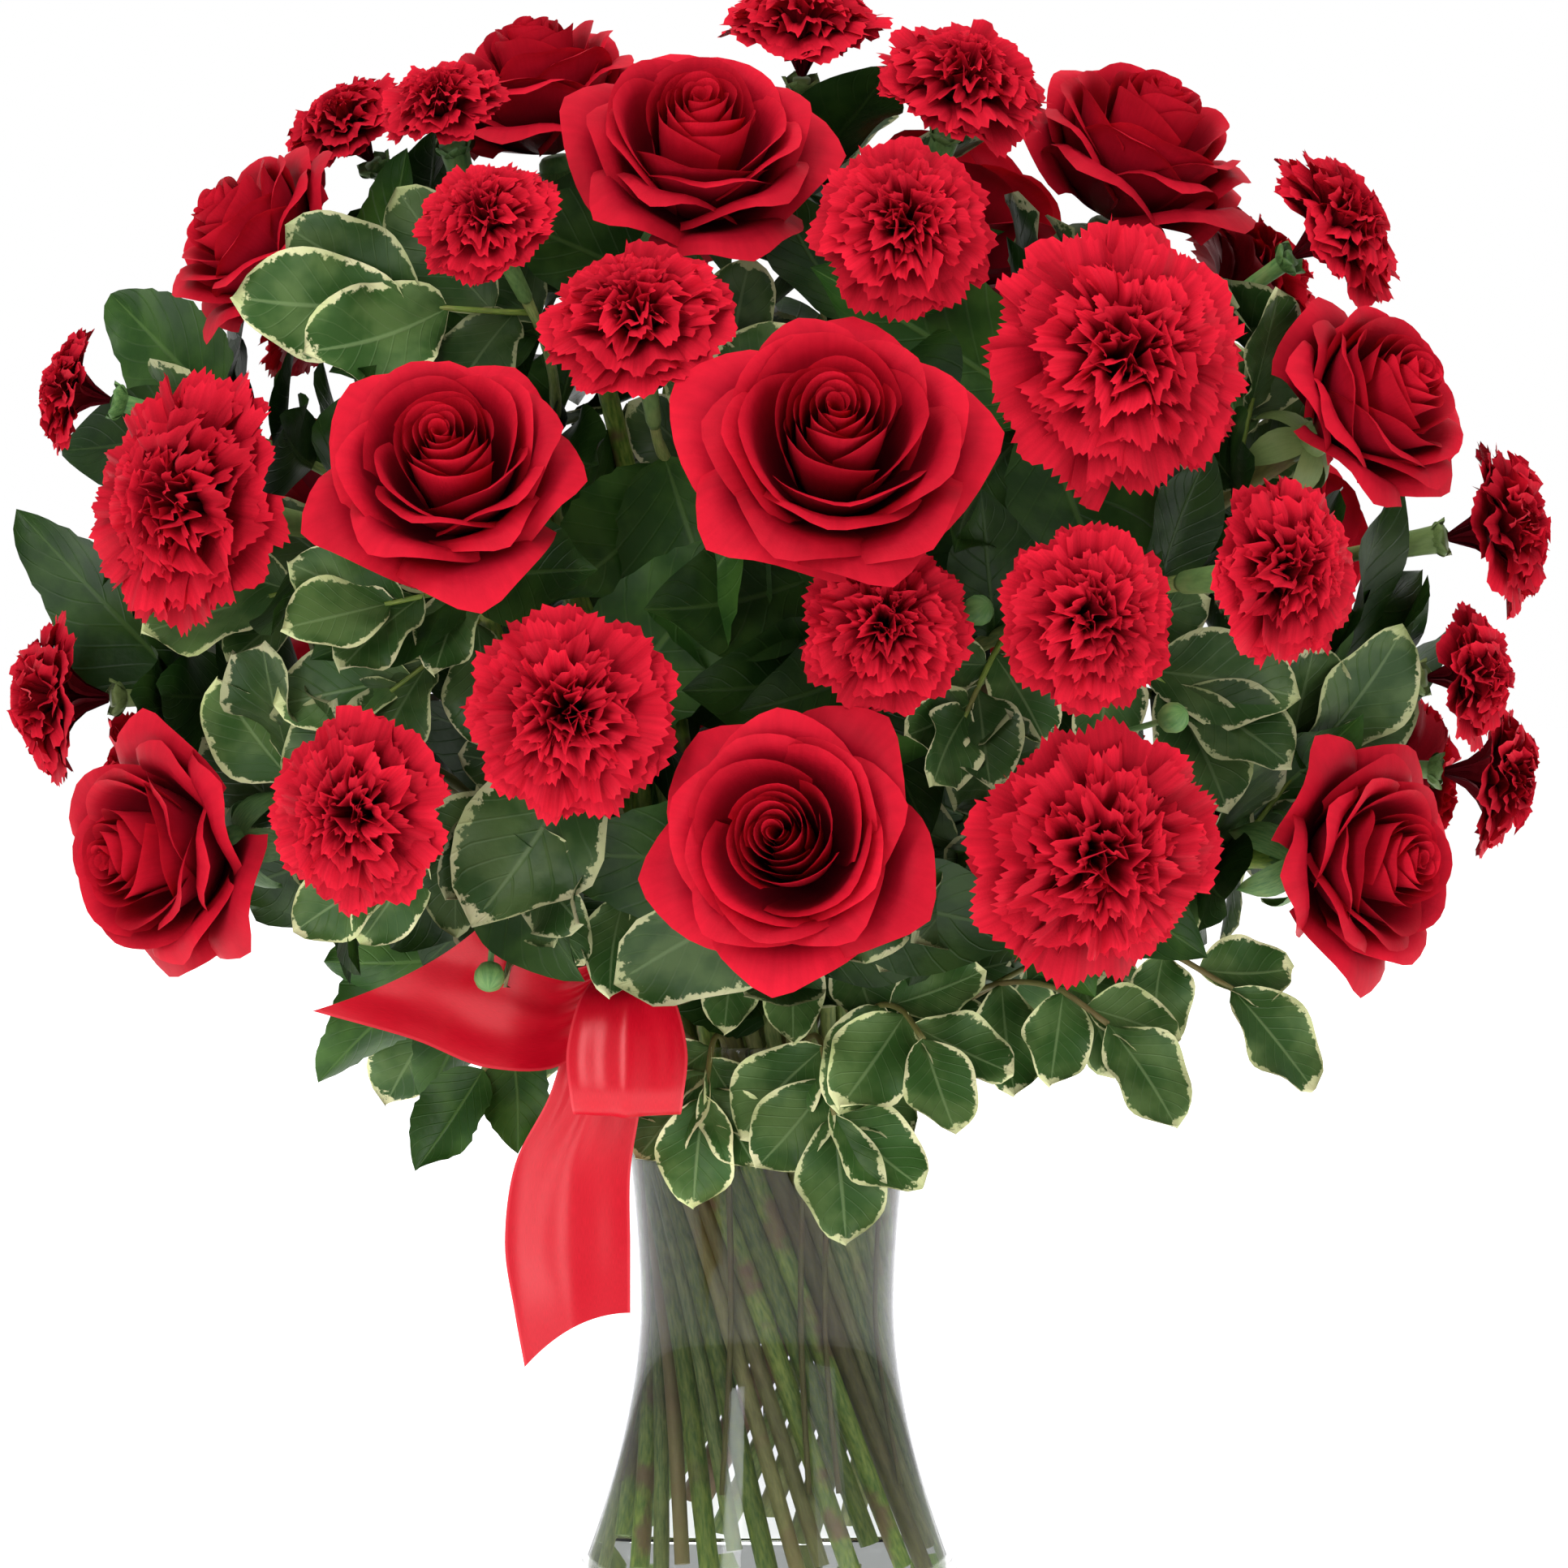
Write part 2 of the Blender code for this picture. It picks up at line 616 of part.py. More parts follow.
def fits(made, routes, frames):
    """Whether a leaf keeps clear of the heads and of all stems but its own."""
    name, root, axis, out, length = made
    width = length * LEAF_WIDTH_SHARE
    side = axis.cross(out).normalized()
    tests = [root + axis * (length * s) for s in (0.25, 0.45, 0.65, 0.85, 1.03)]
    tests += [root + axis * (length * s) + side * (width * d)
              for s in (0.3, 0.5, 0.7) for d in (-0.52, 0.52)]
    if min(p.z for p in tests) < LEAF_LOWEST * MM:
        return False
    if not clear_of_heads(tests, frames, HEAD_CLEARANCE * MM):
        return False
    return clear_of_stems(tests[2:], routes, name, STEM_CLEARANCE * MM)


def dome_leaves(routes, frames):
    """Leaves on the stems: one for each spot in front, then more where there is most room."""
    chance = random.Random(SEED)
    centre = Vector(DOME_CENTRE) * MM
    heads = [(head[0] - centre).normalized() for head in frames.values()]
    found = []
    for x, z in LEAF_SPOTS:
        inside = max(0.0, 1 - ((x - DOME_CENTRE[0]) / 215) ** 2 - ((z - DOME_CENTRE[2]) / 178) ** 2)
        spot = Vector((x, -LEAF_DEPTH * math.sqrt(inside), z)) * MM
        best, nearest = None, LEAF_STRAY * MM
        for trial in range(SPOT_TRIES):
            middle, made = leaf_trial(chance, routes, Vector((0, -1.3, 0)))
            away = (middle - spot).length
            if away < nearest and fits(made, routes, frames):
                best, nearest = (middle, made), away
        if best:
            found.append(best)
    for k in range(MORE_LEAVES):
        best, most = None, -1.0
        for trial in range(LEAF_TRIES):
            middle, made = leaf_trial(chance, routes, Vector())
            aim = (middle - centre).normalized()
            room = min(aim.angle(h) * HEAD_WEIGHT for h in heads)
            room = min([room] + [aim.angle((m - centre).normalized()) for m, other in found])
            if room > most and fits(made, routes, frames):
                best, most = (middle, made), room
        if best:
            found.append(best)
    return [leaf(root, axis, out, length, length * LEAF_WIDTH_SHARE)
            for middle, (name, root, axis, out, length) in found]


def bud(place, stem_point):
    """A round green bud and its stalk."""
    half = BUD_WIDTH / 2 * MM
    rings = rings_of(((0.7, 0.6, 0.04), (1.0, 0.0, 0.0), (0.7, -0.7, 0.0)), 6, 3, 0.0)
    ball = ringed(rings, Vector((0, 0, 1.0)), Vector((0, 0, -1.0)))
    centre = Vector(place) * MM
    away = (centre - stem_point).normalized()
    placed(ball, centre, half, aimed(away, 0.0))
    middle = stem_point.lerp(centre, 0.5) + Vector((0, 0, 0.006))
    stalk = tube([stem_point, middle, centre], [BUD_STALK / 2 * MM] * 3)
    return [ball, stalk]


def twig_path(azimuth, reach, height):
    """From the water up inside the glass, over the rim and out to the tip."""
    points = [around(r, azimuth, z) for r, z in TWIG_RISE]
    over = around(*(TWIG_OVER_RIM[0], azimuth, TWIG_OVER_RIM[1]))
    tip = around(reach, azimuth, height)
    flat = (reach - TWIG_OVER_RIM[0]) * 0.45
    first = over + around(flat, azimuth, flat * 0.7)
    second = tip - around(flat * 0.6, azimuth, -flat * 0.5)
    return points + [bezier(over, first, second, tip, i / TWIG_STEPS) for i in range(TWIG_STEPS + 1)]


def facing(azimuth):
    """Where the leaves of a sprig face: outward, but turned to the front or the back."""
    if abs(azimuth) <= 90:
        return direction(azimuth * 0.4, 20)
    return direction(180 - (180 - abs(azimuth)) * 0.4 * (1 if azimuth > 0 else -1), 20)


def sprig(name, azimuth, path, length, count, finish, seed):
    """A twig with leaves to both sides and a tuft at its tip."""
    chance = random.Random(seed)
    radius = TWIG_WIDTH / 2 * MM
    meshes = [tube(path, [radius] * len(path))]
    face = facing(azimuth)
    free = path[-TWIG_STEPS - 1:]
    for k in range(count):
        share = (k + 1) / count
        place = 0.25 + 0.75 * share
        step = min(int(place * TWIG_STEPS), TWIG_STEPS - 1)
        root = free[step].lerp(free[step + 1], place * TWIG_STEPS - step)
        along = (free[step + 1] - free[step]).normalized()
        hand = (0.0 if k == count - 1 else 1.0) * (1 if k % 2 else -1)
        side = face.cross(along).normalized()
        axis = along * (0.35 + 0.5 * share) + side * hand * chance.uniform(0.8, 1.1)
        axis += Vector((0, 0, chance.uniform(-0.6, -0.15)))
        up = face + side * hand * 0.25
        size = length * chance.uniform(0.82, 1.05) * MM
        meshes.append(leaf(root, axis, up, size, size * SPRIG_LEAF_SHARE))
    return joined(name, meshes, finish)


def strip(pairs, tip=None):
    """Ribbon between two edges, with a corner at its tip where it is cut on the slant."""
    points = [Vector(p) * MM for pair in pairs for p in pair]
    faces = grid_triangles(len(pairs), 2)
    if tip:
        last = len(points)
        points.append(Vector(tip) * MM)
        faces.append((last - 2, last - 1, last))
    return plate(points, faces, RIBBON_THICKNESS * MM)


def bow(finish):
    rings = rings_of(((0.7, 0.7, 0.06), (1.0, 0.0, 0.04), (0.7, -0.7, 0.06)), 8, 4, 0.0)
    knot = ringed(rings, Vector((0, 0, 0.85)), Vector((0, 0, -0.85)))
    knot.transform(Matrix.Diagonal((*[s * MM for s in KNOT_SIZE], 1)))
    knot.transform(Matrix.Translation(Vector(KNOT_PLACE) * MM))
    pieces = [knot, strip(LOOP), strip(SIDE_TAIL, SIDE_TIP), strip(HANGING_TAIL, HANGING_TIP)]
    return joined("ribbon_bow", pieces, finish)


def pick(finish):
    """Slim pick from the back of the knot over the rim and down inside the glass."""
    rise = [around(r, PICK_AZIMUTH, z) for r, z in TWIG_RISE[3:]]
    over = around(TWIG_OVER_RIM[0], PICK_AZIMUTH, TWIG_OVER_RIM[1])
    knot = Vector(KNOT_PLACE) * MM
    end = knot + (over - knot).normalized() * (KNOT_SIZE[1] + 0.1) * MM
    path = [*rise, over, end]
    return joined("bow_pick", [tube(path, [PICK_WIDTH / 2 * MM] * len(path))], finish)


def main():
    for old in list(bpy.data.objects):
        bpy.data.objects.remove(old)
    glass = material("clear_glass", (0.86, 0.90, 0.90), 0.05, 0.35)
    clear_water = material("clear_water", (0.80, 0.88, 0.88), 0.05, 0.35)
    rose_red = material("rose_petal", (0.55, 0.005, 0.02), 0.55)
    carnation_red = material("carnation_petal", (0.78, 0.02, 0.03), 0.6)
    stem_green = material("stem_green", (0.10, 0.20, 0.05), 0.5)
    plain_green = material("plain_leaf", (0.05, 0.14, 0.04), 0.45)
    cream_green = material("variegated_leaf", (0.30, 0.38, 0.18), 0.45)
    satin = material("satin_ribbon", (0.85, 0.02, 0.05), 0.3)
    wood = material("pick_wood", (0.45, 0.30, 0.16), 0.6)

    vase(glass)
    frames = head_frames()
    for name, (centre, half, rotation, axis, kind) in frames.items():
        maker, finish = (rose, rose_red) if kind == ROSE else (carnation, carnation_red)
        maker(name, centre, half, rotation, finish)
    routes = stem_routes(frames)
    pieces = [stem_mesh(r) for r in routes.values()]
    pieces += dome_leaves(routes, frames)
    for name, share, place in BUDS:
        pieces += bud(place, on_bend(routes[name], share)[0])
    joined("stems", pieces, stem_green)

    twigs = []
    for i, (name, azimuth, reach, height, length, count, plain) in enumerate(SPRIGS):
        path = twig_path(azimuth, reach, height)
        twigs.append(path)
        sprig(name, azimuth, path, length, count, plain_green if plain else cream_green, SEED + i)
    water(clear_water, routes.values(), twigs)
    bow(satin)
    pick(wood)


main()
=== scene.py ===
"""Looks for the bouquet in its vase: petals, foliage, stems, glass, water and ribbon.

The layout is the one of the CAD source: the same heads, stems, leaves and sprigs, drawn finer.
"""

import math
import random

import bpy
import numpy as np
from mathutils import Matrix, Vector


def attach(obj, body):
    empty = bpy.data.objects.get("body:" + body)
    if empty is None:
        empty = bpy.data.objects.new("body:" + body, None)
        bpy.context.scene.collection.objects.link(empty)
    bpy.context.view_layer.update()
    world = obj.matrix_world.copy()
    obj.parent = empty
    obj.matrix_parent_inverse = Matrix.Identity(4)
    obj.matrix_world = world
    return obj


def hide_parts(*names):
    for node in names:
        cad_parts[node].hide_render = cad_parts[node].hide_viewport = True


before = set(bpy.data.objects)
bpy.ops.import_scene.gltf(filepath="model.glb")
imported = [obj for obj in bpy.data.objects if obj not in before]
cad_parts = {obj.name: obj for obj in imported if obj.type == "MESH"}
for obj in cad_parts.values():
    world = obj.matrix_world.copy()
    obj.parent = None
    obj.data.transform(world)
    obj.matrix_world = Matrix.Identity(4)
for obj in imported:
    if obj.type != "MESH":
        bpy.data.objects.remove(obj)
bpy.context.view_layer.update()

MM = 0.001
GAP = 0.3 * MM  # running gap between pieces that touch
SEED = 11
ANY_TURN = 6.28  # upper end of a random angle in radians

# Vase: a round glass that narrows to a waist and flares to its rim and to its foot.
VASE_HEIGHT = 178.0
VASE_WALL = 3.2
VASE_FLOOR = 12.0
WAIST_HEIGHT = 95.0
WAIST_RADIUS = 41.7
RIM_FLARE = 8.8
FOOT_FLARE = 20.0
FLARE_POWER = 1.7
FOOT_HEIGHT = 8.0  # height of the widest place of the foot
FOOT_ROUNDING = 3.5
WATER_LEVEL = 146.0

# Stems: one ring of them leans round the axis, each against its neighbours at the waist.
ROSE_STEM = 6.8
CARNATION_STEM = 5.2
SHOOT_STEM = 3.4
STEM_FOOT_HEIGHT = 13.4
STEM_FOOT_LIFTS = (0.0, 9.0, 3.0, 14.0, 6.0)  # the stems are cut to several lengths
STEM_NECK_HEIGHT = 172.0
STEM_TWIST = 84.0
FOOT_RING_RADIUS = 48.0
NECK_RING_RADIUS = 34.5
CALYX_LENGTH = 24.0
CALYX_WIDTHS = {"rose": 9.0, "carnation": 7.5}
BEND = 0.42  # how far a stem runs straight at each end, as a share of its length
STEM_STEPS = 3

# Heads, in order: place of the centre, width, and the azimuth and elevation that each faces.
# Azimuth 0 faces the viewer and 90 faces +X.
ROSE, CARNATION = "rose", "carnation"
HEADS = {
    ROSE: (
        (-70, 44, 466, 74, -40, 72), (-20, -86, 442, 80, 6, 46), (-153, -26, 418, 66, -68, 36),
        (-89, -146, 350, 80, -6, 34), (19, -164, 357, 90, 2, 30), (113, 24, 446, 82, 46, 60),
        (178, -66, 370, 72, 50, 28), (6, -172, 246, 82, -10, 14), (-178, -70, 237, 76, -50, -4),
        (176, -80, 236, 72, 48, 2), (5, 137, 353, 86, 180, 22), (161, 98, 325, 82, 122, 8),
        (-151, 98, 325, 82, -122, 8), (60, 91, 425, 82, 150, 50), (5, 141, 255, 82, 180, -10),
    ),
    CARNATION: (
        (-127, 20, 452, 44, -55, 50), (-96, -34, 456, 40, -25, 58), (-80, -96, 420, 44, -20, 36),
        (11, 24, 482, 52, 5, 70), (58, -30, 462, 54, 22, 48), (39, -122, 418, 54, 8, 22),
        (-36, -128, 391, 56, -8, 46), (100, -124, 380, 80, 20, 15), (170, -10, 421, 54, 62, 32),
        (-207, -14, 372, 38, -82, 14), (-165, -94, 340, 78, -48, 10), (-212, -14, 280, 52, -74, 0),
        (-115, -138, 253, 58, -25, 0), (-55, -158, 282, 62, -8, 5), (33, -156, 306, 50, 5, 16),
        (90, -156, 309, 55, 20, 5), (146, -128, 321, 56, 42, 6), (92, -150, 242, 76, 22, -8),
        (219, -14, 331, 54, 75, 10), (208, -40, 288, 44, 70, 4), (219, 4, 256, 50, 84, -5),
        (80, 138, 319, 70, 151, 10), (-70, 138, 319, 70, -151, 10), (196, 68, 250, 62, 104, -10),
        (-188, 54, 246, 62, -104, -10), (-41, 98, 423, 68, -155, 48), (96, 124, 248, 64, 145, -10),
        (-86, 124, 248, 64, -145, -10), (148, 56, 406, 60, 108, 38), (-136, 64, 398, 60, -112, 36),
    ),
}
HEAD_TURN = 137.5  # each head is turned by this much more about its own axis
DOME_CENTRE = (5, 0, 292)

# Carnations on a side shoot: the head whose stem carries the shoot, and how far up it.
SHOOTS = {
    "carnation_01": ("carnation_02", 0.62),
    "carnation_03": ("carnation_02", 0.52),
    "carnation_04": ("carnation_05", 0.62),
    "carnation_07": ("carnation_06", 0.50),
    "carnation_09": ("carnation_29", 0.58),
    "carnation_10": ("carnation_11", 0.48),
    "carnation_12": ("carnation_25", 0.55),
    "carnation_14": ("carnation_13", 0.48),
    "carnation_15": ("carnation_16", 0.50),
    "carnation_20": ("carnation_19", 0.62),
    "carnation_21": ("carnation_19", 0.50),
}

# How far under its centre each head ends, in half widths of the head.
ROSE_BASE = 0.62
CARNATION_BASE = 0.60

LEAF_DROOP = 0.10  # how far the tip of a leaf hangs down, as a share of its length

# Leaves on the stems, between the heads: places seen from the front, across and up.
LEAF_SPOTS = (
    (-185, 392), (-212, 311), (-114, 392), (-94, 407), (-124, 338), (-163, 285), (-109, 304),
    (-132, 292), (-151, 236), (-84, 245), (-72, 226), (-40, 343), (-28, 319), (-16, 299),
    (-4, 405), (28, 458), (50, 382), (62, 338), (92, 341), (55, 275), (48, 253), (131, 287),
    (146, 250), (185, 287), (190, 319), (165, 275), (148, 392), (-121, 429), (-60, 419),
    (-18, 216), (36, 220), (130, 218), (-116, 218), (75, 482), (8, 206), (64, 208), (98, 204),
)
LEAF_DEPTH = 118.0
DOME_HALF_WIDTH = 215
DOME_HALF_HEIGHT = 178
LEAF_STRAY = 40.0  # a spot stays bare where no leaf comes nearer than this
SPOT_TRIES = 2500
MORE_LEAVES = 14
LEAF_LENGTHS = (56.0, 86.0)
LEAF_WIDTH_SHARE = 0.54
LEAF_LOWEST = 196.0
LEAF_TRIES = 90
HEAD_WEIGHT = 1.5
HEAD_CLEARANCE = 2.5
STEM_CLEARANCE = 4.5

# Foliage sprigs over the rim: azimuth, reach of the tip from the axis, height of the tip,
# length of the leaves, number of leaves, and whether the leaves are plain.
SPRIGS = (
    ("sprig_01", -100, 104, 195, 50, 3, True),
    ("sprig_02", -70, 90, 170, 37, 3, True),
    ("sprig_03", -17, 63, 165, 33, 5, False),
    ("sprig_04", 16, 72, 160, 37, 5, False),
    ("sprig_05", 28, 97, 184, 36, 5, False),
    ("sprig_06", 60, 116, 186, 37, 5, False),
    ("sprig_07", 78, 142, 194, 38, 5, False),
    ("sprig_08", 120, 112, 186, 40, 5, False),
    ("sprig_09", 180, 100, 176, 40, 5, False),
    ("sprig_10", -120, 112, 184, 40, 5, False),
)
SPRIG_LEAF_SHARE = 0.68
TWIG_WIDTH = 1.8
TWIG_RISE = ((44.9, 44.0), (37.2, 82.0), (35.6, 104.0), (38.5, 150.0), (43.0, 176.5))
TWIG_OVER_RIM = (49.0, 181.5)
TWIG_STEPS = 3

# Buds that hang from a stem: the head whose stem carries it, how far up, and the place of the bud.
BUDS = (
    ("carnation_13", 0.72, (-80, -97, 203)),
    ("carnation_18", 0.80, (116, -122, 279)),
    ("carnation_15", 0.86, (60, -136, 310)),
)
BUD_WIDTH = 9.0
BUD_STALK = 1.8

# Bow: a satin ribbon 38 mm wide on a wired pick that stands inside the rim.
KNOT_PLACE = (-40, -70, 203)
KNOT_SIZE = (9, 8, 9)
# Each pair is the two edges of the ribbon at one place along it.
LOOP = (
    ((-46, -72, 205), (-35, -72, 205)),
    ((-54, -84, 196), (-27, -84, 196)),
    ((-58, -90, 181), (-23, -90, 181)),
    ((-57, -88, 168), (-24, -88, 168)),
    ((-56, -82, 162), (-25, -82, 162)),
    ((-56, -77, 166), (-26, -77, 166)),
    ((-54, -75, 186), (-28, -75, 186)),
    ((-45, -70, 201), (-36, -70, 201)),
)
SIDE_TAIL = (
    ((-42, -70, 208), (-42, -69, 199)),
    ((-60, -71, 203), (-58, -69, 176)),
    ((-71, -78, 210), (-81, -80, 175)),
    ((-84, -82, 216), (-103, -86, 184)),
)
SIDE_TIP = (-132, -84, 192)
HANGING_TAIL = (
    ((-46, -67, 202), (-36, -67, 202)),
    ((-57, -64, 186), (-35, -64, 186)),
    ((-64, -63, 165), (-37, -64, 163)),
    ((-74, -62, 145), (-40, -65, 143)),
    ((-77, -64, 122), (-40, -68, 122)),
    ((-74, -68, 102), (-40, -70, 102)),
)
HANGING_TIP = (-71, -70, 86)
PICK_WIDTH = 1.8
PICK_AZIMUTH = -30


def flare(height):
    """Outer radius of the glass at a height, both in millimetres."""
    above = max(0.0, height - WAIST_HEIGHT) / (VASE_HEIGHT - WAIST_HEIGHT)
    below = max(0.0, WAIST_HEIGHT - height) / (WAIST_HEIGHT - FOOT_HEIGHT)
    return WAIST_RADIUS + RIM_FLARE * above**FLARE_POWER + FOOT_FLARE * below**FLARE_POWER


def direction(azimuth, elevation):
    a, e = math.radians(azimuth), math.radians(elevation)
    return Vector((math.sin(a) * math.cos(e), -math.cos(a) * math.cos(e), math.sin(e)))


def around(radius, azimuth, height):
    """A point in metres from millimetres and degrees, azimuth 0 towards the viewer."""
    out = direction(azimuth, 0) * radius
    return Vector((out.x, out.y, height)) * MM


def aimed(axis, turn):
    """Rotation that puts +Z on the axis, turned about it."""
    return axis.to_track_quat("Z", "Y").to_matrix().to_4x4() @ Matrix.Rotation(turn, 4, "Z")


def head_frames():
    """For each head: its centre, half width and rotation, in metres."""
    found = {}
    for kind, heads in HEADS.items():
        for i, (x, y, z, width, azimuth, elevation) in enumerate(heads):
            axis = direction(azimuth, elevation)
            turn = math.radians(HEAD_TURN * len(found))
            head = (Vector((x, y, z)) * MM, width / 2 * MM, aimed(axis, turn), axis, kind)
            found[f"{kind}_{i + 1:02d}"] = head
    return found


def bezier(a, b, c, d, t):
    s = 1 - t
    return a * s**3 + b * 3 * s * s * t + c * 3 * s * t * t + d * t**3


def handles_to(head, start, leave):
    """Four handles of the bend from a start to a head, and the end of the stem there."""
    centre, half, rotation, axis, kind = head
    base_share = ROSE_BASE if kind == ROSE else CARNATION_BASE
    top = centre - axis * (half * base_share + GAP)
    calyx = top - axis * CALYX_LENGTH * MM
    reach = (calyx - start).length * BEND
    return (start, start + leave * reach, calyx - axis * reach, calyx), top


def stem_routes(frames):
    """For each head, in order round the axis: stem width, foot, handles, end and kind."""
    widths = {ROSE: ROSE_STEM, CARNATION: CARNATION_STEM}
    names = [n for n in frames if n not in SHOOTS]
    names.sort(key=lambda n: math.atan2(frames[n][0].x, -frames[n][0].y))
    total = sum(widths[frames[n][4]] for n in names)
    routes, used = {}, 0.0
    for i, name in enumerate(names):
        kind = frames[name][4]
        width = widths[kind]
        azimuth = 360 * (used + width / 2) / total - 180
        used += width
        low = STEM_FOOT_HEIGHT + STEM_FOOT_LIFTS[i % len(STEM_FOOT_LIFTS)]
        foot = around(FOOT_RING_RADIUS, azimuth + STEM_TWIST, STEM_FOOT_HEIGHT)
        neck = around(NECK_RING_RADIUS, azimuth, STEM_NECK_HEIGHT)
        foot = foot.lerp(neck, (low * MM - foot.z) / (neck.z - foot.z))
        handles, top = handles_to(frames[name], neck, (neck - foot).normalized())
        routes[name] = (width / 2 * MM, foot, handles, top, kind)
    for name, (carrier, share) in SHOOTS.items():
        start, along = on_bend(routes[carrier], share)
        handles, top = handles_to(frames[name], start, along)
        routes[name] = (SHOOT_STEM / 2 * MM, None, handles, top, frames[name][4])
    return routes


def bend_of(route):
    return [bezier(*route[2], i / STEM_STEPS) for i in range(STEM_STEPS + 1)]


def on_bend(route, share):
    """Point and direction on the axis of the stem as it is built, above the neck."""
    points = bend_of(route)
    step = min(int(share * STEM_STEPS), STEM_STEPS - 1)
    along = (points[step + 1] - points[step]).normalized()
    return points[step].lerp(points[step + 1], share * STEM_STEPS - step), along


def clear_of_heads(points, frames, room):
    """Whether the points stay outside a plump cone round each head."""
    for centre, half, rotation, axis, kind in frames.values():
        for point in points:
            away = point - centre
            ahead = away.dot(axis)
            beside = (away - axis * ahead).length
            if -0.9 * half - room < ahead < 0.7 * half + room:
                lean = min(1.0, (ahead + 0.9 * half) / (0.9 * half))
                if beside < half * (0.25 + 0.83 * lean) + room:
                    return False
    return True


def clear_of_stems(points, routes, own, room):
    """Whether the points stay away from every stem but their own."""
    for name, route in routes.items():
        if name == own:
            continue
        bend = bend_of(route)
        for a, b in zip(bend[:-1], bend[1:]):
            along = b - a
            for point in points:
                share = min(1.0, max(0.0, (point - a).dot(along) / along.length_squared))
                if (point - a - along * share).length < room:
                    return False
    return True


def leaf_trial(chance, routes, towards):
    """A random leaf on a stem, lying along the dome: its middle and what builds it."""
    name = chance.choice(sorted(routes))
    root, along = on_bend(routes[name], chance.uniform(0.25, 0.98))
    out = ((root - Vector(DOME_CENTRE) * MM).normalized() + towards).normalized()
    across = out.orthogonal().normalized()
    across.rotate(Matrix.Rotation(chance.uniform(0, 2 * math.pi), 3, out))
    axis = (across + out * chance.uniform(-0.2, 0.6) + along * 0.3).normalized()
    length = chance.uniform(*LEAF_LENGTHS) * MM
    return root + axis * (length / 2), (name, root, axis, out, length)


def fits(made, routes, frames):
    """Whether a leaf keeps clear of the heads and of all stems but its own."""
    name, root, axis, out, length = made
    width = length * LEAF_WIDTH_SHARE
    side = axis.cross(out).normalized()
    tests = [root + axis * (length * s) for s in (0.25, 0.45, 0.65, 0.85, 1.03)]
    tests += [root + axis * (length * s) + side * (width * d)
              for s in (0.3, 0.5, 0.7) for d in (-0.52, 0.52)]
    if min(p.z for p in tests) < LEAF_LOWEST * MM:
        return False
    if not clear_of_heads(tests, frames, HEAD_CLEARANCE * MM):
        return False
    return clear_of_stems(tests[2:], routes, name, STEM_CLEARANCE * MM)


def dome_leaves(routes, frames):
    """Leaves on the stems: one for each spot in front, then more where there is most room."""
    chance = random.Random(SEED)
    centre = Vector(DOME_CENTRE) * MM
    heads = [(head[0] - centre).normalized() for head in frames.values()]
    found = []
    for x, z in LEAF_SPOTS:
        beside = (x - DOME_CENTRE[0]) / DOME_HALF_WIDTH
        above = (z - DOME_CENTRE[2]) / DOME_HALF_HEIGHT
        inside = max(0.0, 1 - beside**2 - above**2)
        spot = Vector((x, -LEAF_DEPTH * math.sqrt(inside), z)) * MM
        best, nearest = None, LEAF_STRAY * MM
        for trial in range(SPOT_TRIES):
            middle, made = leaf_trial(chance, routes, Vector((0, -1.3, 0)))
            away = (middle - spot).length
            if away < nearest and fits(made, routes, frames):
                best, nearest = (middle, made), away
        if best:
            found.append(best)
    for k in range(MORE_LEAVES):
        best, most = None, -1.0
        for trial in range(LEAF_TRIES):
            middle, made = leaf_trial(chance, routes, Vector())
            aim = (middle - centre).normalized()
            room = min(aim.angle(h) * HEAD_WEIGHT for h in heads)
            room = min([room] + [aim.angle((m - centre).normalized()) for m, other in found])
            if room > most and fits(made, routes, frames):
                best, most = (middle, made), room
        if best:
            found.append(best)
    return [made for middle, made in found]


def twig_path(azimuth, reach, height):
    """From the water up inside the glass, over the rim and out to the tip."""
    points = [around(r, azimuth, z) for r, z in TWIG_RISE]
    over = around(*(TWIG_OVER_RIM[0], azimuth, TWIG_OVER_RIM[1]))
    tip = around(reach, azimuth, height)
    flat = (reach - TWIG_OVER_RIM[0]) * 0.45
    first = over + around(flat, azimuth, flat * 0.7)
    second = tip - around(flat * 0.6, azimuth, -flat * 0.5)
    return points + [bezier(over, first, second, tip, i / TWIG_STEPS) for i in range(TWIG_STEPS + 1)]


def facing(azimuth):
    """Where the leaves of a sprig face: outward, but turned to the front or the back."""
    if abs(azimuth) <= 90:
        return direction(azimuth * 0.4, 20)
    return direction(180 - (180 - abs(azimuth)) * 0.4 * (1 if azimuth > 0 else -1), 20)


def blend(a, b, t):
    return a + (b - a) * t


def ease(low, high, x):
    t = np.clip((x - low) / (high - low), 0.0, 1.0)
    return t * t * (3 - 2 * t)


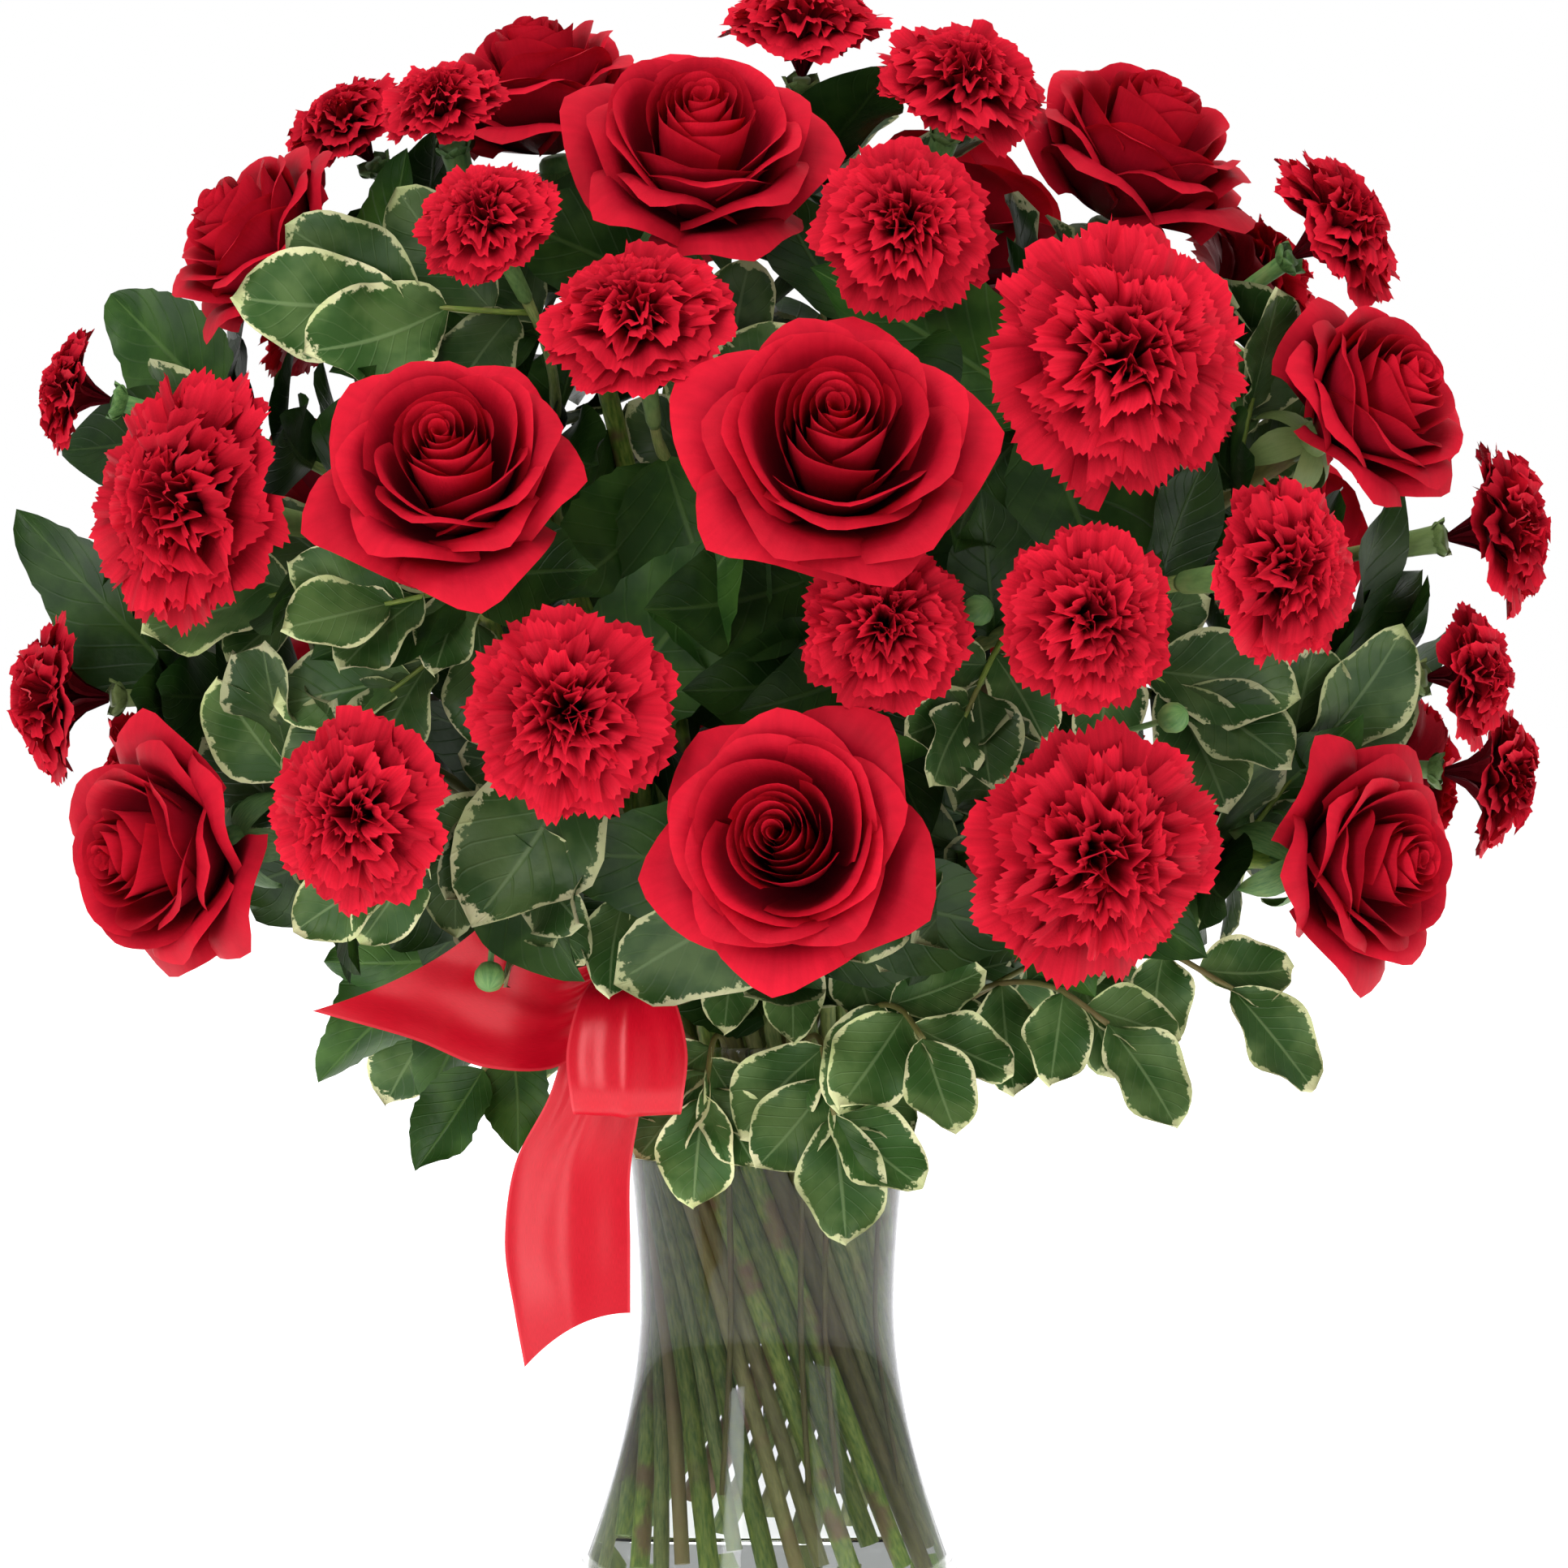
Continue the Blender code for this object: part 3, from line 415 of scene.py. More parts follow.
class Batch:
    """Grids of points that are gathered into one mesh.

    Each point carries a mark: across and along its petal or leaf, and a number of its own.
    """

    def __init__(self):
        self.points, self.faces, self.marks, self.slots = [], [], [], []
        self.count = 0

    def add(self, points, across, along, own, slot=0, wrap=False):
        rows, columns = points.shape[:2]
        index = np.arange(rows * columns).reshape(rows, columns) + self.count
        if wrap:
            index = np.concatenate([index, index[:, :1]], axis=1)
        quads = np.stack([index[:-1, :-1], index[1:, :-1], index[1:, 1:], index[:-1, 1:]], -1)
        mark = np.empty((rows, columns, 3))
        mark[..., 0] = across
        mark[..., 1] = along
        mark[..., 2] = own
        self.points.append(points.reshape(-1, 3))
        self.faces.append(quads.reshape(-1, 4))
        self.marks.append(mark.reshape(-1, 3))
        self.slots.append(np.full(len(self.faces[-1]), slot))
        self.count += rows * columns

    def piece(self, name, materials, slot, *nodes):
        """The mesh as a piece that stands for these CAD nodes."""
        points = np.concatenate(self.points).astype(np.float32)
        faces = np.concatenate(self.faces).astype(np.int32)
        mesh = bpy.data.meshes.new(name)
        mesh.vertices.add(len(points))
        mesh.vertices.foreach_set("co", points.ravel())
        mesh.loops.add(faces.size)
        mesh.loops.foreach_set("vertex_index", faces.ravel())
        mesh.polygons.add(len(faces))
        mesh.polygons.foreach_set("loop_start", np.arange(0, faces.size, 4, dtype=np.int32))
        mesh.polygons.foreach_set("material_index", np.concatenate(self.slots).astype(np.int32))
        mesh.polygons.foreach_set("use_smooth", np.ones(len(faces), dtype=bool))
        marks = mesh.attributes.new("mark", "FLOAT_VECTOR", "POINT")
        marks.data.foreach_set("vector", np.concatenate(self.marks).astype(np.float32).ravel())
        mesh.update(calc_edges=True)
        mesh.validate()
        made = bpy.data.objects.new(name, mesh)
        for material in materials:
            mesh.materials.append(material)
        bpy.context.scene.collection.objects.link(made)
        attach(made, "root")
        if nodes:
            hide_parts(*nodes)
        return made


def to_world(points, centre, half, rotation):
    turn = np.array(rotation)[:3, :3]
    return points @ turn.T * half + np.array(centre)


# Materials


class Tree:
    """A short way to wire a material's nodes."""

    def __init__(self, name, roughness, specular=0.5):
        self.material = bpy.data.materials.new(name)
        self.material.use_nodes = True
        self.nodes = self.material.node_tree.nodes
        self.links = self.material.node_tree.links
        self.shader = self.nodes["Principled BSDF"]
        self.set(("Roughness", roughness), ("Specular IOR Level", specular))

    def put(self, node, key, value):
        if hasattr(value, "is_output"):
            self.links.new(value, node.inputs[key])
        else:
            node.inputs[key].default_value = value

    def math(self, operation, a, b=0.0):
        node = self.nodes.new("ShaderNodeMath")
        node.operation = operation
        self.put(node, 0, a)
        self.put(node, 1, b)
        return node.outputs[0]

    def times(self, a, b):
        return self.math("MULTIPLY", a, b)

    def plus(self, a, b):
        return self.math("ADD", a, b)

    def set(self, *values):
        """Plain numbers and colours of the shader itself."""
        for socket, value in values:
            self.shader.inputs[socket].default_value = value

    def mark(self):
        """Across, along and the number of its own, as the mesh carries them."""
        node = self.nodes.new("ShaderNodeAttribute")
        node.attribute_name = "mark"
        split = self.nodes.new("ShaderNodeSeparateXYZ")
        self.links.new(node.outputs["Vector"], split.inputs[0])
        return split.outputs[0], split.outputs[1], split.outputs[2]

    def joined(self, x, y, z):
        node = self.nodes.new("ShaderNodeCombineXYZ")
        for i, value in enumerate((x, y, z)):
            self.put(node, i, value)
        return node.outputs[0]

    def place(self):
        return self.nodes.new("ShaderNodeTexCoord").outputs["Object"]

    def noise(self, vector, scale, detail=2.0, rough=0.5):
        node = self.nodes.new("ShaderNodeTexNoise")
        values = (("Vector", vector), ("Scale", scale), ("Detail", detail), ("Roughness", rough))
        for socket, value in values:
            self.put(node, socket, value)
        return node.outputs["Fac"]

    def span(self, value, low, high, to_low=0.0, to_high=1.0, smooth=False):
        node = self.nodes.new("ShaderNodeMapRange")
        if smooth:
            node.interpolation_type = "SMOOTHSTEP"
        values = (("Value", value), ("From Min", low), ("From Max", high),
                  ("To Min", to_low), ("To Max", to_high))
        for socket, number in values:
            self.put(node, socket, number)
        return node.outputs["Result"]

    def ramp(self, value, stops):
        node = self.nodes.new("ShaderNodeValToRGB")
        self.put(node, 0, value)
        points = node.color_ramp.elements
        points[0].position, points[0].color = stops[0][0], (*stops[0][1], 1)
        points[1].position, points[1].color = stops[-1][0], (*stops[-1][1], 1)
        for position, colour in stops[1:-1]:
            made = points.new(position)
            made.color = (*colour, 1)
        return node.outputs[0]

    def mix(self, share, a, b, blend_type="MIX"):
        node = self.nodes.new("ShaderNodeMix")
        node.data_type = "RGBA"
        node.blend_type = blend_type
        self.put(node, 0, share)
        self.put(node, 6, a if hasattr(a, "is_output") else (*a, 1))
        self.put(node, 7, b if hasattr(b, "is_output") else (*b, 1))
        return node.outputs[2]

    def tint(self, colour, factor):
        """The colour made lighter or darker by a factor."""
        grey = self.joined(factor, factor, factor)
        return self.mix(1.0, colour, grey, "MULTIPLY")

    def bump(self, height, strength, distance):
        node = self.nodes.new("ShaderNodeBump")
        for socket, value in (("Strength", strength), ("Distance", distance), ("Height", height)):
            self.put(node, socket, value)
        self.links.new(node.outputs[0], self.shader.inputs["Normal"])

    def done(self, colour):
        self.put(self.shader, "Base Color", colour)
        return self.material


def petal_material(name, stops, roughness, vein_share, bump):
    """Petal with painted shade: darker in its depth and lighter at its rim, with fine veins along it."""
    t = Tree(name, roughness, 0.14)
    across, along, own = t.mark()
    place = t.place()
    # painted shade: the ramp runs from near black at the petal's base, deep in the bloom, to full red at
    # its rim
    colour = t.ramp(along, stops)
    t.set(("Specular Tint", (1.0, 0.30, 0.32, 1)))
    vein = t.noise(t.joined(t.times(across, 14.0), along, t.times(own, 9.0)), 1.6, 3.0)
    mottle = t.noise(place, 160.0, 3.0)
    factor = t.plus(t.span(vein, 0.3, 0.7, 1 - vein_share, 1 + vein_share),
                    t.span(mottle, 0.3, 0.7, -0.08, 0.08))
    factor = t.times(factor, t.span(own, 0.0, 1.0, 0.84, 1.16))
    t.set(("Sheen Weight", 0.05), ("Sheen Roughness", 0.45), ("Sheen Tint", (0.9, 0.05, 0.09, 1)))
    t.bump(t.plus(vein, t.noise(place, 1500.0, 2.0)), bump, 0.0004)
    return t.done(t.tint(colour, factor))


# Petals: colours from the base to the rim, darkened towards the base as painted shade, roughness,
# contrast of the veins, and relief.
PETAL_LOOKS = (
    ("rose_petal",
     ((0.0, (0.055, 0.001, 0.006)), (0.45, (0.18, 0.003, 0.012)),
      (0.8, (0.42, 0.006, 0.020)), (1.0, (0.56, 0.009, 0.025))),
     0.50, 0.05, 0.12),
    ("carnation_petal",
     ((0.0, (0.045, 0.001, 0.004)), (0.45, (0.13, 0.002, 0.007)),
      (0.8, (0.33, 0.004, 0.014)), (1.0, (0.58, 0.010, 0.027))),
     0.60, 0.12, 0.25),
)
# Leaves: colour, its patches, the ribs, and the cream margin where there is one.
LEAF_LOOKS = (
    ("plain_leaf", (0.020, 0.068, 0.009), (0.048, 0.120, 0.018), (0.11, 0.21, 0.05), None),
    ("variegated_leaf", (0.034, 0.090, 0.018), (0.090, 0.160, 0.045), (0.20, 0.30, 0.12),
     (0.74, 0.72, 0.42)),
)
# Stems: two greens in streaks and the colour of the knots.
STEM_LOOKS = (
    ("rose_stem", (0.10, 0.20, 0.025), (0.27, 0.36, 0.06), (0.20, 0.11, 0.06)),
    ("carnation_stem", (0.14, 0.24, 0.06), (0.34, 0.42, 0.12), (0.22, 0.17, 0.07)),
    ("calyx_green", (0.06, 0.15, 0.04), (0.13, 0.24, 0.07), (0.20, 0.24, 0.08)),
)


def leaf_material(name, inner, patch, rib, margin):
    """Leaf with side veins, a pale midrib and, where margin is given, a cream edge."""
    t = Tree(name, 0.42, 0.24)
    across, along, own = t.mark()
    place = t.place()
    side = t.math("ABSOLUTE", across)
    blotch = t.noise(place, 70.0, 3.0)
    colour = t.mix(t.span(blotch, 0.38, 0.66, smooth=True), inner, patch)
    slant = t.math("SUBTRACT", t.times(along, 9.0), t.times(side, 2.6))
    fold = t.math("ABSOLUTE", t.math("SUBTRACT", t.math("FRACT", slant), 0.5))
    vein = t.span(fold, 0.0, 0.09, 1.0, 0.0, smooth=True)
    midrib = t.span(side, 0.015, 0.06, 1.0, 0.0, smooth=True)
    colour = t.mix(t.times(vein, 0.13), colour, rib)
    colour = t.mix(t.times(midrib, 0.55), colour, rib)
    if margin:
        wobble = t.span(t.noise(place, 300.0, 3.0, 0.65), 0.25, 0.75, -0.12, 0.12)
        rim = t.math("MAXIMUM", side, t.span(along, 0.5, 1.0, 0.0, 1.04))
        edge = t.span(t.plus(rim, wobble), 0.87, 0.92, smooth=True)
        cream = t.mix(t.span(blotch, 0.35, 0.7), margin, (0.50, 0.58, 0.24))
        colour = t.mix(edge, colour, cream)
    # the own mark sets each leaf's tone: at random on most leaves, and dark as painted shade on the
    # filler leaves deep in the dome
    factor = t.span(own, 0.0, 1.0, 0.36, 1.15)
    relief = t.plus(t.times(t.math("MAXIMUM", vein, midrib), -1.0),
                    t.times(t.noise(place, 420.0, 3.0), 0.8))
    t.bump(relief, 0.35, 0.0005)
    return t.done(t.tint(colour, factor))


def stem_material(name, low, high, knots):
    """Streaked stem with darker knots; each stem has its own shade."""
    t = Tree(name, 0.5, 0.35)
    around_it, along, own = t.mark()
    place = t.place()
    streak = t.noise(t.joined(t.times(around_it, 5.0), t.times(along, 3.0), own), 2.0, 4.0)
    colour = t.mix(t.span(streak, 0.35, 0.65), low, high)
    shade = t.math("FRACT", t.times(own, 7.0))
    colour = t.mix(t.span(shade, 0.45, 1.0, 0.0, 0.9), colour, knots)
    spot = t.span(t.noise(place, 55.0, 4.0), 0.52, 0.66, smooth=True)
    colour = t.mix(t.times(spot, t.span(own, 0.0, 1.0, 0.1, 0.9)), colour, knots)
    t.bump(t.noise(place, 700.0, 3.0), 0.3, 0.0004)
    return t.done(t.tint(colour, t.span(own, 0.0, 1.0, 0.7, 1.3)))


def painted_shade_above(t, clear, dark):
    """Clear near the foot of the vase and darker above, as painted shade of the shaded stems inside."""
    height = t.nodes.new("ShaderNodeSeparateXYZ")
    t.links.new(t.place(), height.inputs[0])
    # noise wobbles the height where the painted shade begins
    shade_edge_wobble = t.span(t.noise(t.place(), 24.0, 2.0), 0.3, 0.7, -0.010, 0.010)
    level = t.plus(height.outputs[2], shade_edge_wobble)
    return t.mix(t.span(level, 0.025, 0.075, smooth=True), clear, dark)


def clear_material(name, index, clear, dark, waves, depth):
    """Glass or water; its waves are their scale and detail, its depth how far they bend the light."""
    t = Tree(name, 0.0, 0.5)
    t.set(("IOR", index), ("Transmission Weight", 1.0))
    t.bump(t.noise(t.place(), *waves), *depth)
    # painted shade: the tint turns from clear to dark above the foot of the vase
    return t.done(painted_shade_above(t, clear, dark))


def satin_material():
    """Red satin with a paler woven edge."""
    t = Tree("satin_ribbon", 0.27, 0.8)
    across, along, own = t.mark()
    t.set(("Sheen Weight", 0.04), ("Sheen Roughness", 0.3), ("Sheen Tint", (1.0, 0.25, 0.28, 1)),
          ("Specular Tint", (1.0, 0.48, 0.48, 1)))
    threads = t.noise(t.joined(t.times(across, 170.0), t.times(along, 9.0), 0.0), 1.0, 2.0)
    weft = t.noise(t.joined(t.times(across, 6.0), t.times(along, 900.0), 0.0), 1.0, 2.0)
    selvedge = t.span(t.math("ABSOLUTE", across), 0.94, 0.97, smooth=True)
    colour = t.mix(t.span(threads, 0.3, 0.7), (0.50, 0.002, 0.012), (0.64, 0.004, 0.020))
    colour = t.mix(t.times(selvedge, 0.5), colour, (0.80, 0.05, 0.07))
    t.bump(t.plus(threads, t.times(weft, 0.6)), 0.10, 0.0002)
    return t.done(colour)


def wood_material():
    t = Tree("pick_wood", 0.6, 0.3)
    around_it, along, own = t.mark()
    grain = t.noise(t.joined(t.times(around_it, 8.0), along, 0.0), 3.0, 5.0)
    t.bump(grain, 0.3, 0.0003)
    return t.done(t.mix(grain, (0.33, 0.21, 0.10), (0.52, 0.36, 0.20)))


def floor_material():
    t = Tree("pale_floor", 0.7, 0.2)
    t.set(("Emission Color", (1, 1, 1, 1)), ("Emission Strength", 0.6))
    return t.done(t.mix(t.noise(t.place(), 6.0, 2.0), (0.90, 0.90, 0.90), (0.93, 0.93, 0.93)))


# Roses


# Rings of petals from the bud outwards: how many, radius and height of the rim, half angle
# and how far the rim bends out.
ROSE_RINGS = (
    (3, 0.045, 0.57, 2.20, 0.00),
    (3, 0.105, 0.58, 1.75, 0.02),
    (3, 0.170, 0.57, 1.60, 0.05),
    (4, 0.240, 0.54, 1.35, 0.10),
    (4, 0.325, 0.49, 1.25, 0.17),
    (4, 0.545, 0.42, 1.15, 0.42),
    (5, 0.660, 0.33, 1.05, 0.64),
    (5, 0.830, 0.16, 1.00, 0.86),
    (5, 1.000, -0.07, 1.00, 1.00),
)
FIRST_LOOSE_RING = 3  # from here on the petals of a ring end lower and lower
FIRST_OPEN_RING = 5  # the first ring outside the hollow round the bud
FIRST_WILD_RING = 7  # from here on the petals differ most
PETAL_COLUMNS = 15
PETAL_ROWS = 11


def rose_petal(rng, theta, radius, height, half_angle, flare_out):
    """One petal in half widths of the head, as a grid of points."""
    u = np.linspace(-1, 1, PETAL_COLUMNS)[None, :]
    v = np.linspace(0, 1, PETAL_ROWS)[:, None]
    side = np.abs(u)
    pointed = flare_out**1.5
    reach = v * (1 - blend(0.12, 0.36, pointed) * side ** blend(2.6, 1.35, pointed))
    # the profile runs from the base over two handles to the rim
    r0, z0 = 0.02, -0.60
    r1, z1 = 0.10 + 0.54 * radius, -0.52 + 0.10 * flare_out
    r2, z2 = radius * (1.12 - 0.40 * flare_out), height - 0.34 + 0.46 * flare_out
    r = bezier(r0, r1, r2, radius, reach)
    z = bezier(z0, z1, z2, height, reach)
    tip = pointed * np.exp(-((u / 0.20) ** 2)) * ease(0.70, 1.0, v)
    r = r + 0.06 * tip
    z = z - 0.02 * tip
    lip = ease(0.78, 1.0, v) ** 2
    edge = 0.030 + 0.030 * flare_out
    r = r + lip * edge * (1 - 0.3 * side)
    z = z - lip * edge * 0.7
    # the sides of an opened petal roll back, which leaves its end pointed
    roll = ease(0.25, 1.0, side) * v**1.6 * flare_out
    z = z - 0.24 * roll
    r = r - 0.02 * roll
    width = half_angle * (0.55 + 0.45 * np.sin(np.pi * 0.60 * np.clip(v + 0.12, 0, 1)))
    phase = rng.uniform(0, ANY_TURN, 3)
    wave = v**3 * (0.006 + 0.018 * flare_out)
    r = r + wave * np.sin(3.5 * u + phase[0])
    z = z + 1.4 * wave * np.sin(4.2 * u + phase[1])
    tuck = blend(0.24, 0.06, min(1.0, radius * 1.3))
    r = r * (1 + tuck * u * (0.3 + 0.7 * v))
    angle = theta + u * width * (1 - 0.06 * roll)
    return np.stack([r * np.cos(angle), r * np.sin(angle), z + 0 * angle], -1), u, v


def rose_head(batch, rng, centre, half, rotation):
    """A rose: rings of petals, each ring turned against the one within."""
    theta = rng.uniform(0, ANY_TURN)
    hollow = rng.uniform(-0.03, 0.03)
    for ring, (count, radius, height, half_angle, flare_out) in enumerate(ROSE_RINGS):
        theta += rng.uniform(0.5, 1.0)
        for k in range(count):
            share = k / count
            step = 2 * math.pi / count
            grown = radius * (0.93 + 0.14 * share) * rng.uniform(0.97, 1.03)
            if ring == FIRST_OPEN_RING:
                grown += hollow
            high = height + rng.uniform(-0.02, 0.02) - 0.04 * share * (ring >= FIRST_LOOSE_RING)
            if ring >= FIRST_WILD_RING:
                grown *= rng.uniform(0.90, 1.05)
                high += rng.uniform(-0.07, 0.09)
            grown = min(grown, 0.99)
            points, u, v = rose_petal(rng, theta + k * step + rng.uniform(-0.12, 0.12), grown, high,
                                      half_angle * rng.uniform(0.92, 1.08), flare_out)
            batch.add(to_world(points, centre, half, rotation), u, v, rng.uniform())


# Carnations


# Tiers of petals from the rim inwards: how many, where their ends lie, half the width of
# the fan, folds across it and how deep these are.
CARNATION_RINGS = (
    (6, 0.99, 0.01, 0.62, 1.2, 0.060),
    (7, 0.89, 0.15, 0.52, 1.5, 0.080),
    (7, 0.72, 0.30, 0.37, 2.0, 0.090),
    (6, 0.53, 0.41, 0.30, 2.0, 0.095),
    (6, 0.34, 0.48, 0.24, 1.8, 0.095),
    (4, 0.15, 0.52, 0.18, 1.6, 0.090),
)
LARGE_HEAD = 0.031  # half width in metres from which a head gets the finer grid


def carnation_head(batch, rng, centre, half, rotation):
    """A carnation: tiers of ruffled fans with a toothed edge."""
    columns, rows = (39, 8) if half > LARGE_HEAD else (27, 7)
    u = np.linspace(-1, 1, columns)[None, :]
    v = (np.linspace(0, 1, rows) ** 0.8)[:, None]
    zigzag = np.where(np.arange(columns) % 2 == 0, 1.0, -1.0)
    spin = rng.uniform(0, ANY_TURN)
    for count, far, high, fan, turns, deep in CARNATION_RINGS:
        spin += rng.uniform(0.3, 0.7)
        for k in range(count):
            end_r = far * rng.uniform(0.90, 1.05)
            end_z = high + rng.uniform(-0.06, 0.05)
            theta = spin + (k + rng.uniform(-0.22, 0.22)) * 2 * math.pi / count
            teeth = 0.026 * zigzag * rng.uniform(0.1, 1.0, columns)
            lobes = 0.032 * np.sin(rng.uniform(5, 9) * u + rng.uniform(0, ANY_TURN))
            reach = v * (1 - 0.15 * u**2) + v**6 * (teeth[None, :] + lobes)
            r = bezier(0.04, 0.08, 0.42 * end_r, end_r, reach)
            z = bezier(-0.57, -0.05, end_z + 0.12 * end_r, end_z, reach)
            wide = u * (0.035 + fan * rng.uniform(0.85, 1.12) * v**1.15)
            phase = rng.uniform(0, ANY_TURN, 3)
            folds = turns * rng.uniform(0.8, 1.3)
            ruffle = v**1.8 * (deep * np.sin(folds * math.pi * u + phase[0])
                               + 0.45 * deep * np.sin(2.7 * folds * math.pi * u + phase[1]) * v)
            lean = math.atan2(end_z + 0.02 + 0.45 * (1 - end_r), end_r)
            twist = rng.uniform(-0.75, 0.75) * (1 - 0.75 * far)
            out_r, out_z = -math.sin(lean), math.cos(lean)
            curl = -0.10 * v**5 * rng.uniform(-0.4, 1.0)
            r = r + ruffle * out_r + wide * math.sin(twist) * out_r * v
            z = z + (ruffle + curl) * out_z + wide * math.sin(twist) * out_z * v
            wide = wide * math.cos(twist)
            c, d = math.cos(theta), math.sin(theta)
            points = np.stack([r * c - wide * d, r * d + wide * c, z], -1)
            spread = np.sqrt(points[..., 0] ** 2 + points[..., 1] ** 2)
            points[..., :2] *= np.minimum(1.0, 1.05 / np.maximum(spread, 1e-6))[..., None]
            batch.add(to_world(points, centre, half, rotation), u, v, rng.uniform())


# Stems


MARKS_PER_METRE = 40
# The knots of a stem in metres, and how much they swell it.
KNOT_SPACING = 0.055
KNOT_REACH = 0.006
KNOT_SWELL = {ROSE: 0.08, CARNATION: 0.22}
# Sepals: length and half width in metres, and how far they bend back.
SEPALS = {ROSE: (0.021, 0.0052, 1.0), CARNATION: (0.006, 0.0042, 0.1)}
SEPAL_STEP = 1.2566  # angle from one of the five to the next, in radians
# The cup under a head: along the last stretch of the stem, and width against the stem's.
CUPS = {
    ROSE: ((0.45, 1.0), (0.62, 1.15), (0.74, 1.75), (0.85, 2.0), (0.94, 1.75), (1.0, 1.35)),
    CARNATION: ((0.02, 1.05), (0.12, 1.45), (0.4, 1.6), (0.7, 1.7), (0.9, 1.85), (1.0, 1.75)),
}


def tube_points(path, radii, sides):
    """Rings of points along a path, without twist."""
    path = np.asarray(path, float)
    radii = np.asarray(radii, float)
    along = np.gradient(path, axis=0)
    along /= np.linalg.norm(along, axis=1)[:, None]
    normal = np.cross(along[0], (0.3, 0.5, 0.8))
    rings = []
    for point, direction_here, radius in zip(path, along, radii):
        normal = normal - direction_here * normal.dot(direction_here)
        normal /= np.linalg.norm(normal)
        other = np.cross(direction_here, normal)
        angle = np.linspace(0, 2 * math.pi, sides, endpoint=False)[:, None]
        rings.append(point + radius * (np.cos(angle) * normal + np.sin(angle) * other))
    return np.array(rings)


def add_tube(batch, path, radii, own, slot=0, sides=10):
    """Closed tube; its along mark grows with the way from the first point."""
    path = [np.array(p, float) for p in path]
    first = path[0] + (path[0] - path[1]) * 1e-3
    last = path[-1] + (path[-1] - path[-2]) * 1e-3
    path = [first, *path, last]
    radii = [radii[0] * 0.03, *radii, radii[-1] * 0.03]
    rings = tube_points(path, radii, sides)
    run = np.concatenate([[0], np.cumsum(np.linalg.norm(np.diff(np.array(path), axis=0), axis=1))])
    turn = np.linspace(-1, 1, sides, endpoint=False)
    batch.add(rings, turn[None, :], run[:, None] * MARKS_PER_METRE, own, slot, wrap=True)


def smooth_route(route, count):
    return [bezier(*route[2], i / count) for i in range(count + 1)]


def add_stem(batch, rng, route):
    """A flower stem with swollen nodes, and the green cup under its head."""
    radius, foot, handles, top, kind = route
    bend = smooth_route(route, 22)
    path = ([foot.lerp(bend[0], i / 10) for i in range(10)] if foot is not None else []) + bend
    slim = radius * 0.92
    radii = []
    run, knot = 0.0, rng.uniform(0.02, 0.05)
    for a, b in zip(path, [*path[1:], top]):
        near = abs((run % KNOT_SPACING) - knot)
        radii.append(slim * (1 + KNOT_SWELL[kind] * max(0.0, 1 - near / KNOT_REACH)))
        run += (b - a).length
    own = rng.uniform()
    slot = 0 if kind == ROSE else 1
    add_tube(batch, [*path, top], [*radii, slim], own, slot)
    cup_end = top + (top - path[-1]).normalized() * 0.0002
    start = path[-1]
    cup = CUPS[kind]
    base = slim if kind == CARNATION else slim * 0.95
    add_tube(batch, [start.lerp(cup_end, s) for s, w in cup],
             [min(base * w, CALYX_WIDTHS[kind] * MM * 0.62) for s, w in cup], own, 2, 14)
    add_sepals(batch, rng, cup_end, (top - start).normalized(), kind, own)


def add_sepals(batch, rng, root, axis, kind, own):
    """Five pointed sepals under a rose, or the short teeth of a carnation's cup."""
    first = axis.orthogonal().normalized()
    spin = rng.uniform(0, ANY_TURN)
    long, wide, bend = SEPALS[kind]
    u = np.linspace(-1, 1, 5)[None, :, None]
    v = np.linspace(0, 1, 9)[:, None, None]
    for k in range(5):
        out = first.copy()
        out.rotate(Matrix.Rotation(spin + k * SEPAL_STEP, 3, axis))
        side = np.array(axis.cross(out))
        out, up = np.array(out), np.array(axis)
        lean = bend * rng.uniform(0.6, 1.3)
        ahead = np.sin(v * (0.9 + lean)) * 0.55
        drop = (1 - np.cos(v * (0.9 + lean))) * 0.6
        shape = np.sin(np.pi * np.clip(0.16 + 0.84 * v, 0, 1)) ** 0.8
        points = (np.array(root) - up * 0.004 + out * (0.0035 + long * ahead) - up * long * drop * bend
                  + up * (0.0 if kind == ROSE else long * 0.8) * v
                  + side * wide * shape * u - out * 0.0012 * u**2)
        batch.add(points, u[..., 0], v[..., 0], own, 2)


# Leaves


